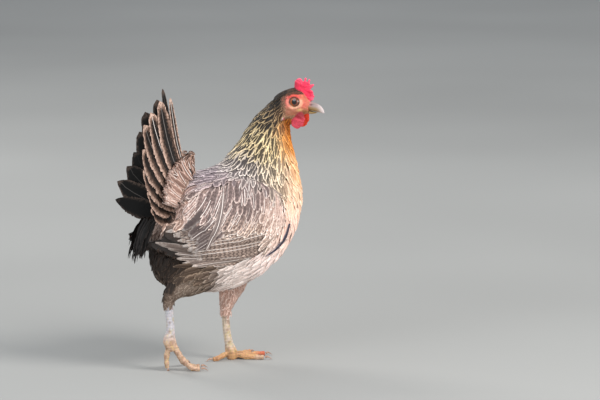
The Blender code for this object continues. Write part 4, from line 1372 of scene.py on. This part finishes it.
def add_body_coat(surface, kind, bare, rng, material):
    face_kind = kind[surface.triangles[:, 0]]
    feathered = ~bare[surface.triangles].any(axis=1)
    centre = surface.points[surface.triangles].mean(axis=1)
    behind = centre[:, 0] < 20
    left = centre[:, 1] > 0
    trunk = face_kind == "trunk"
    coverts = (face_kind == "wing") & ((centre[:, 2] > 216 - 0.16 * centre[:, 0]) | (centre[:, 0] > 44))
    head = to_head(centre)
    chin = (head[:, 0] > -3) & (head[:, 2] < -18)
    for name, allowed, zones, slot, unwrap, shape in (
            ("coat_head", (face_kind == "head") & feathered & ~chin, BODY, "crown", round_body,
             {"floor": 0.2, "rows": 6, "flow": head_flow}),
            ("coat_neck", (face_kind == "neck") & feathered, BODY, "hackle", round_body, {"sweep": 0.6}),
            ("coat_front", trunk & ~behind, BODY, "breast_feather", round_body, {}),
            ("coat_rear_left", trunk & behind & left, BODY, "breast_feather", round_body,
             {"fray": 0.25, "messy": 0.16}),
            ("coat_rear_right", trunk & behind & ~left, BODY, "breast_feather", round_body,
             {"fray": 0.25, "messy": 0.16}),
            ("coat_wing_left", coverts & left, WING, "wing_covert", flat_side, {"floor": 2.2}),
            ("coat_wing_right", coverts & ~left, WING, "wing_covert", flat_side, {"floor": 2.2}),
            ("coat_thigh_left", (face_kind == "thigh") & left, THIGH, "thigh_feather", flat_side,
             {"fray": 0.2}),
            ("coat_thigh_right", (face_kind == "thigh") & ~left, THIGH, "thigh_feather", flat_side,
             {"fray": 0.2})):
        add_coat(name, surface, allowed, zones, rng, material, slot, unwrap, **shape)


# The bristles and short feathers round the bare face.
FACE = (
    Zone(84, 366, 14, 226, 4.5, 1.7, 2.1, 0.9, 0.7, "8A5E50", "B48A74", "3A2620", 0.7),
    Zone(90, 348, 12, 236, 5.5, 1.9, 1.9, 1.0, 0.7, "9A7458", "C2A07C", "4A3226", 0.6),
    Zone(102, 378, 12, 200, 4.5, 1.7, 1.8, 0.9, 0.7, "5A3A2E", "94664E", "1E1410", 0.7),
)


def add_face_feathers(surface, kind, bare, rng, material):
    """Short, thin feathers that fade the plumage out over the bare face's rim."""
    owned = (kind[surface.triangles] == "head").all(axis=1) & bare[surface.triangles].all(axis=1)
    head = to_head(surface.points[surface.triangles].mean(axis=1))
    far = from_eye(head)[2]
    brow = (head[:, 2] > 9.0) & (head[:, 0] < 13) & (far > 1.5)
    cheek = (head[:, 0] < -10.5) & (far > 1.6)
    jaw = (head[:, 2] < -19) & (head[:, 0] < 2)
    add_coat("coat_face", surface, owned & (brow | cheek | jaw), FACE, rng, material, "crown", round_body,
             rows=5, flow=head_flow, floor=0.15, fray=0.2)


def main():
    rng = np.random.default_rng(11)
    add_camera()
    add_set()
    surface, kind, bare = add_skin()
    vane = feather_paint()
    add_body_coat(surface, kind, bare, rng, vane)
    add_face_feathers(surface, kind, bare, rng, vane)
    for side_name, side in SIDES:
        add_flight_feathers(surface, side_name, side, rng, vane)
        add_tail(side_name, side, rng, vane)
    add_tail_coverts(rng, vane)
    add_undertail(rng, vane)
    add_eyes()
    add_bill()
    add_claws()


main()
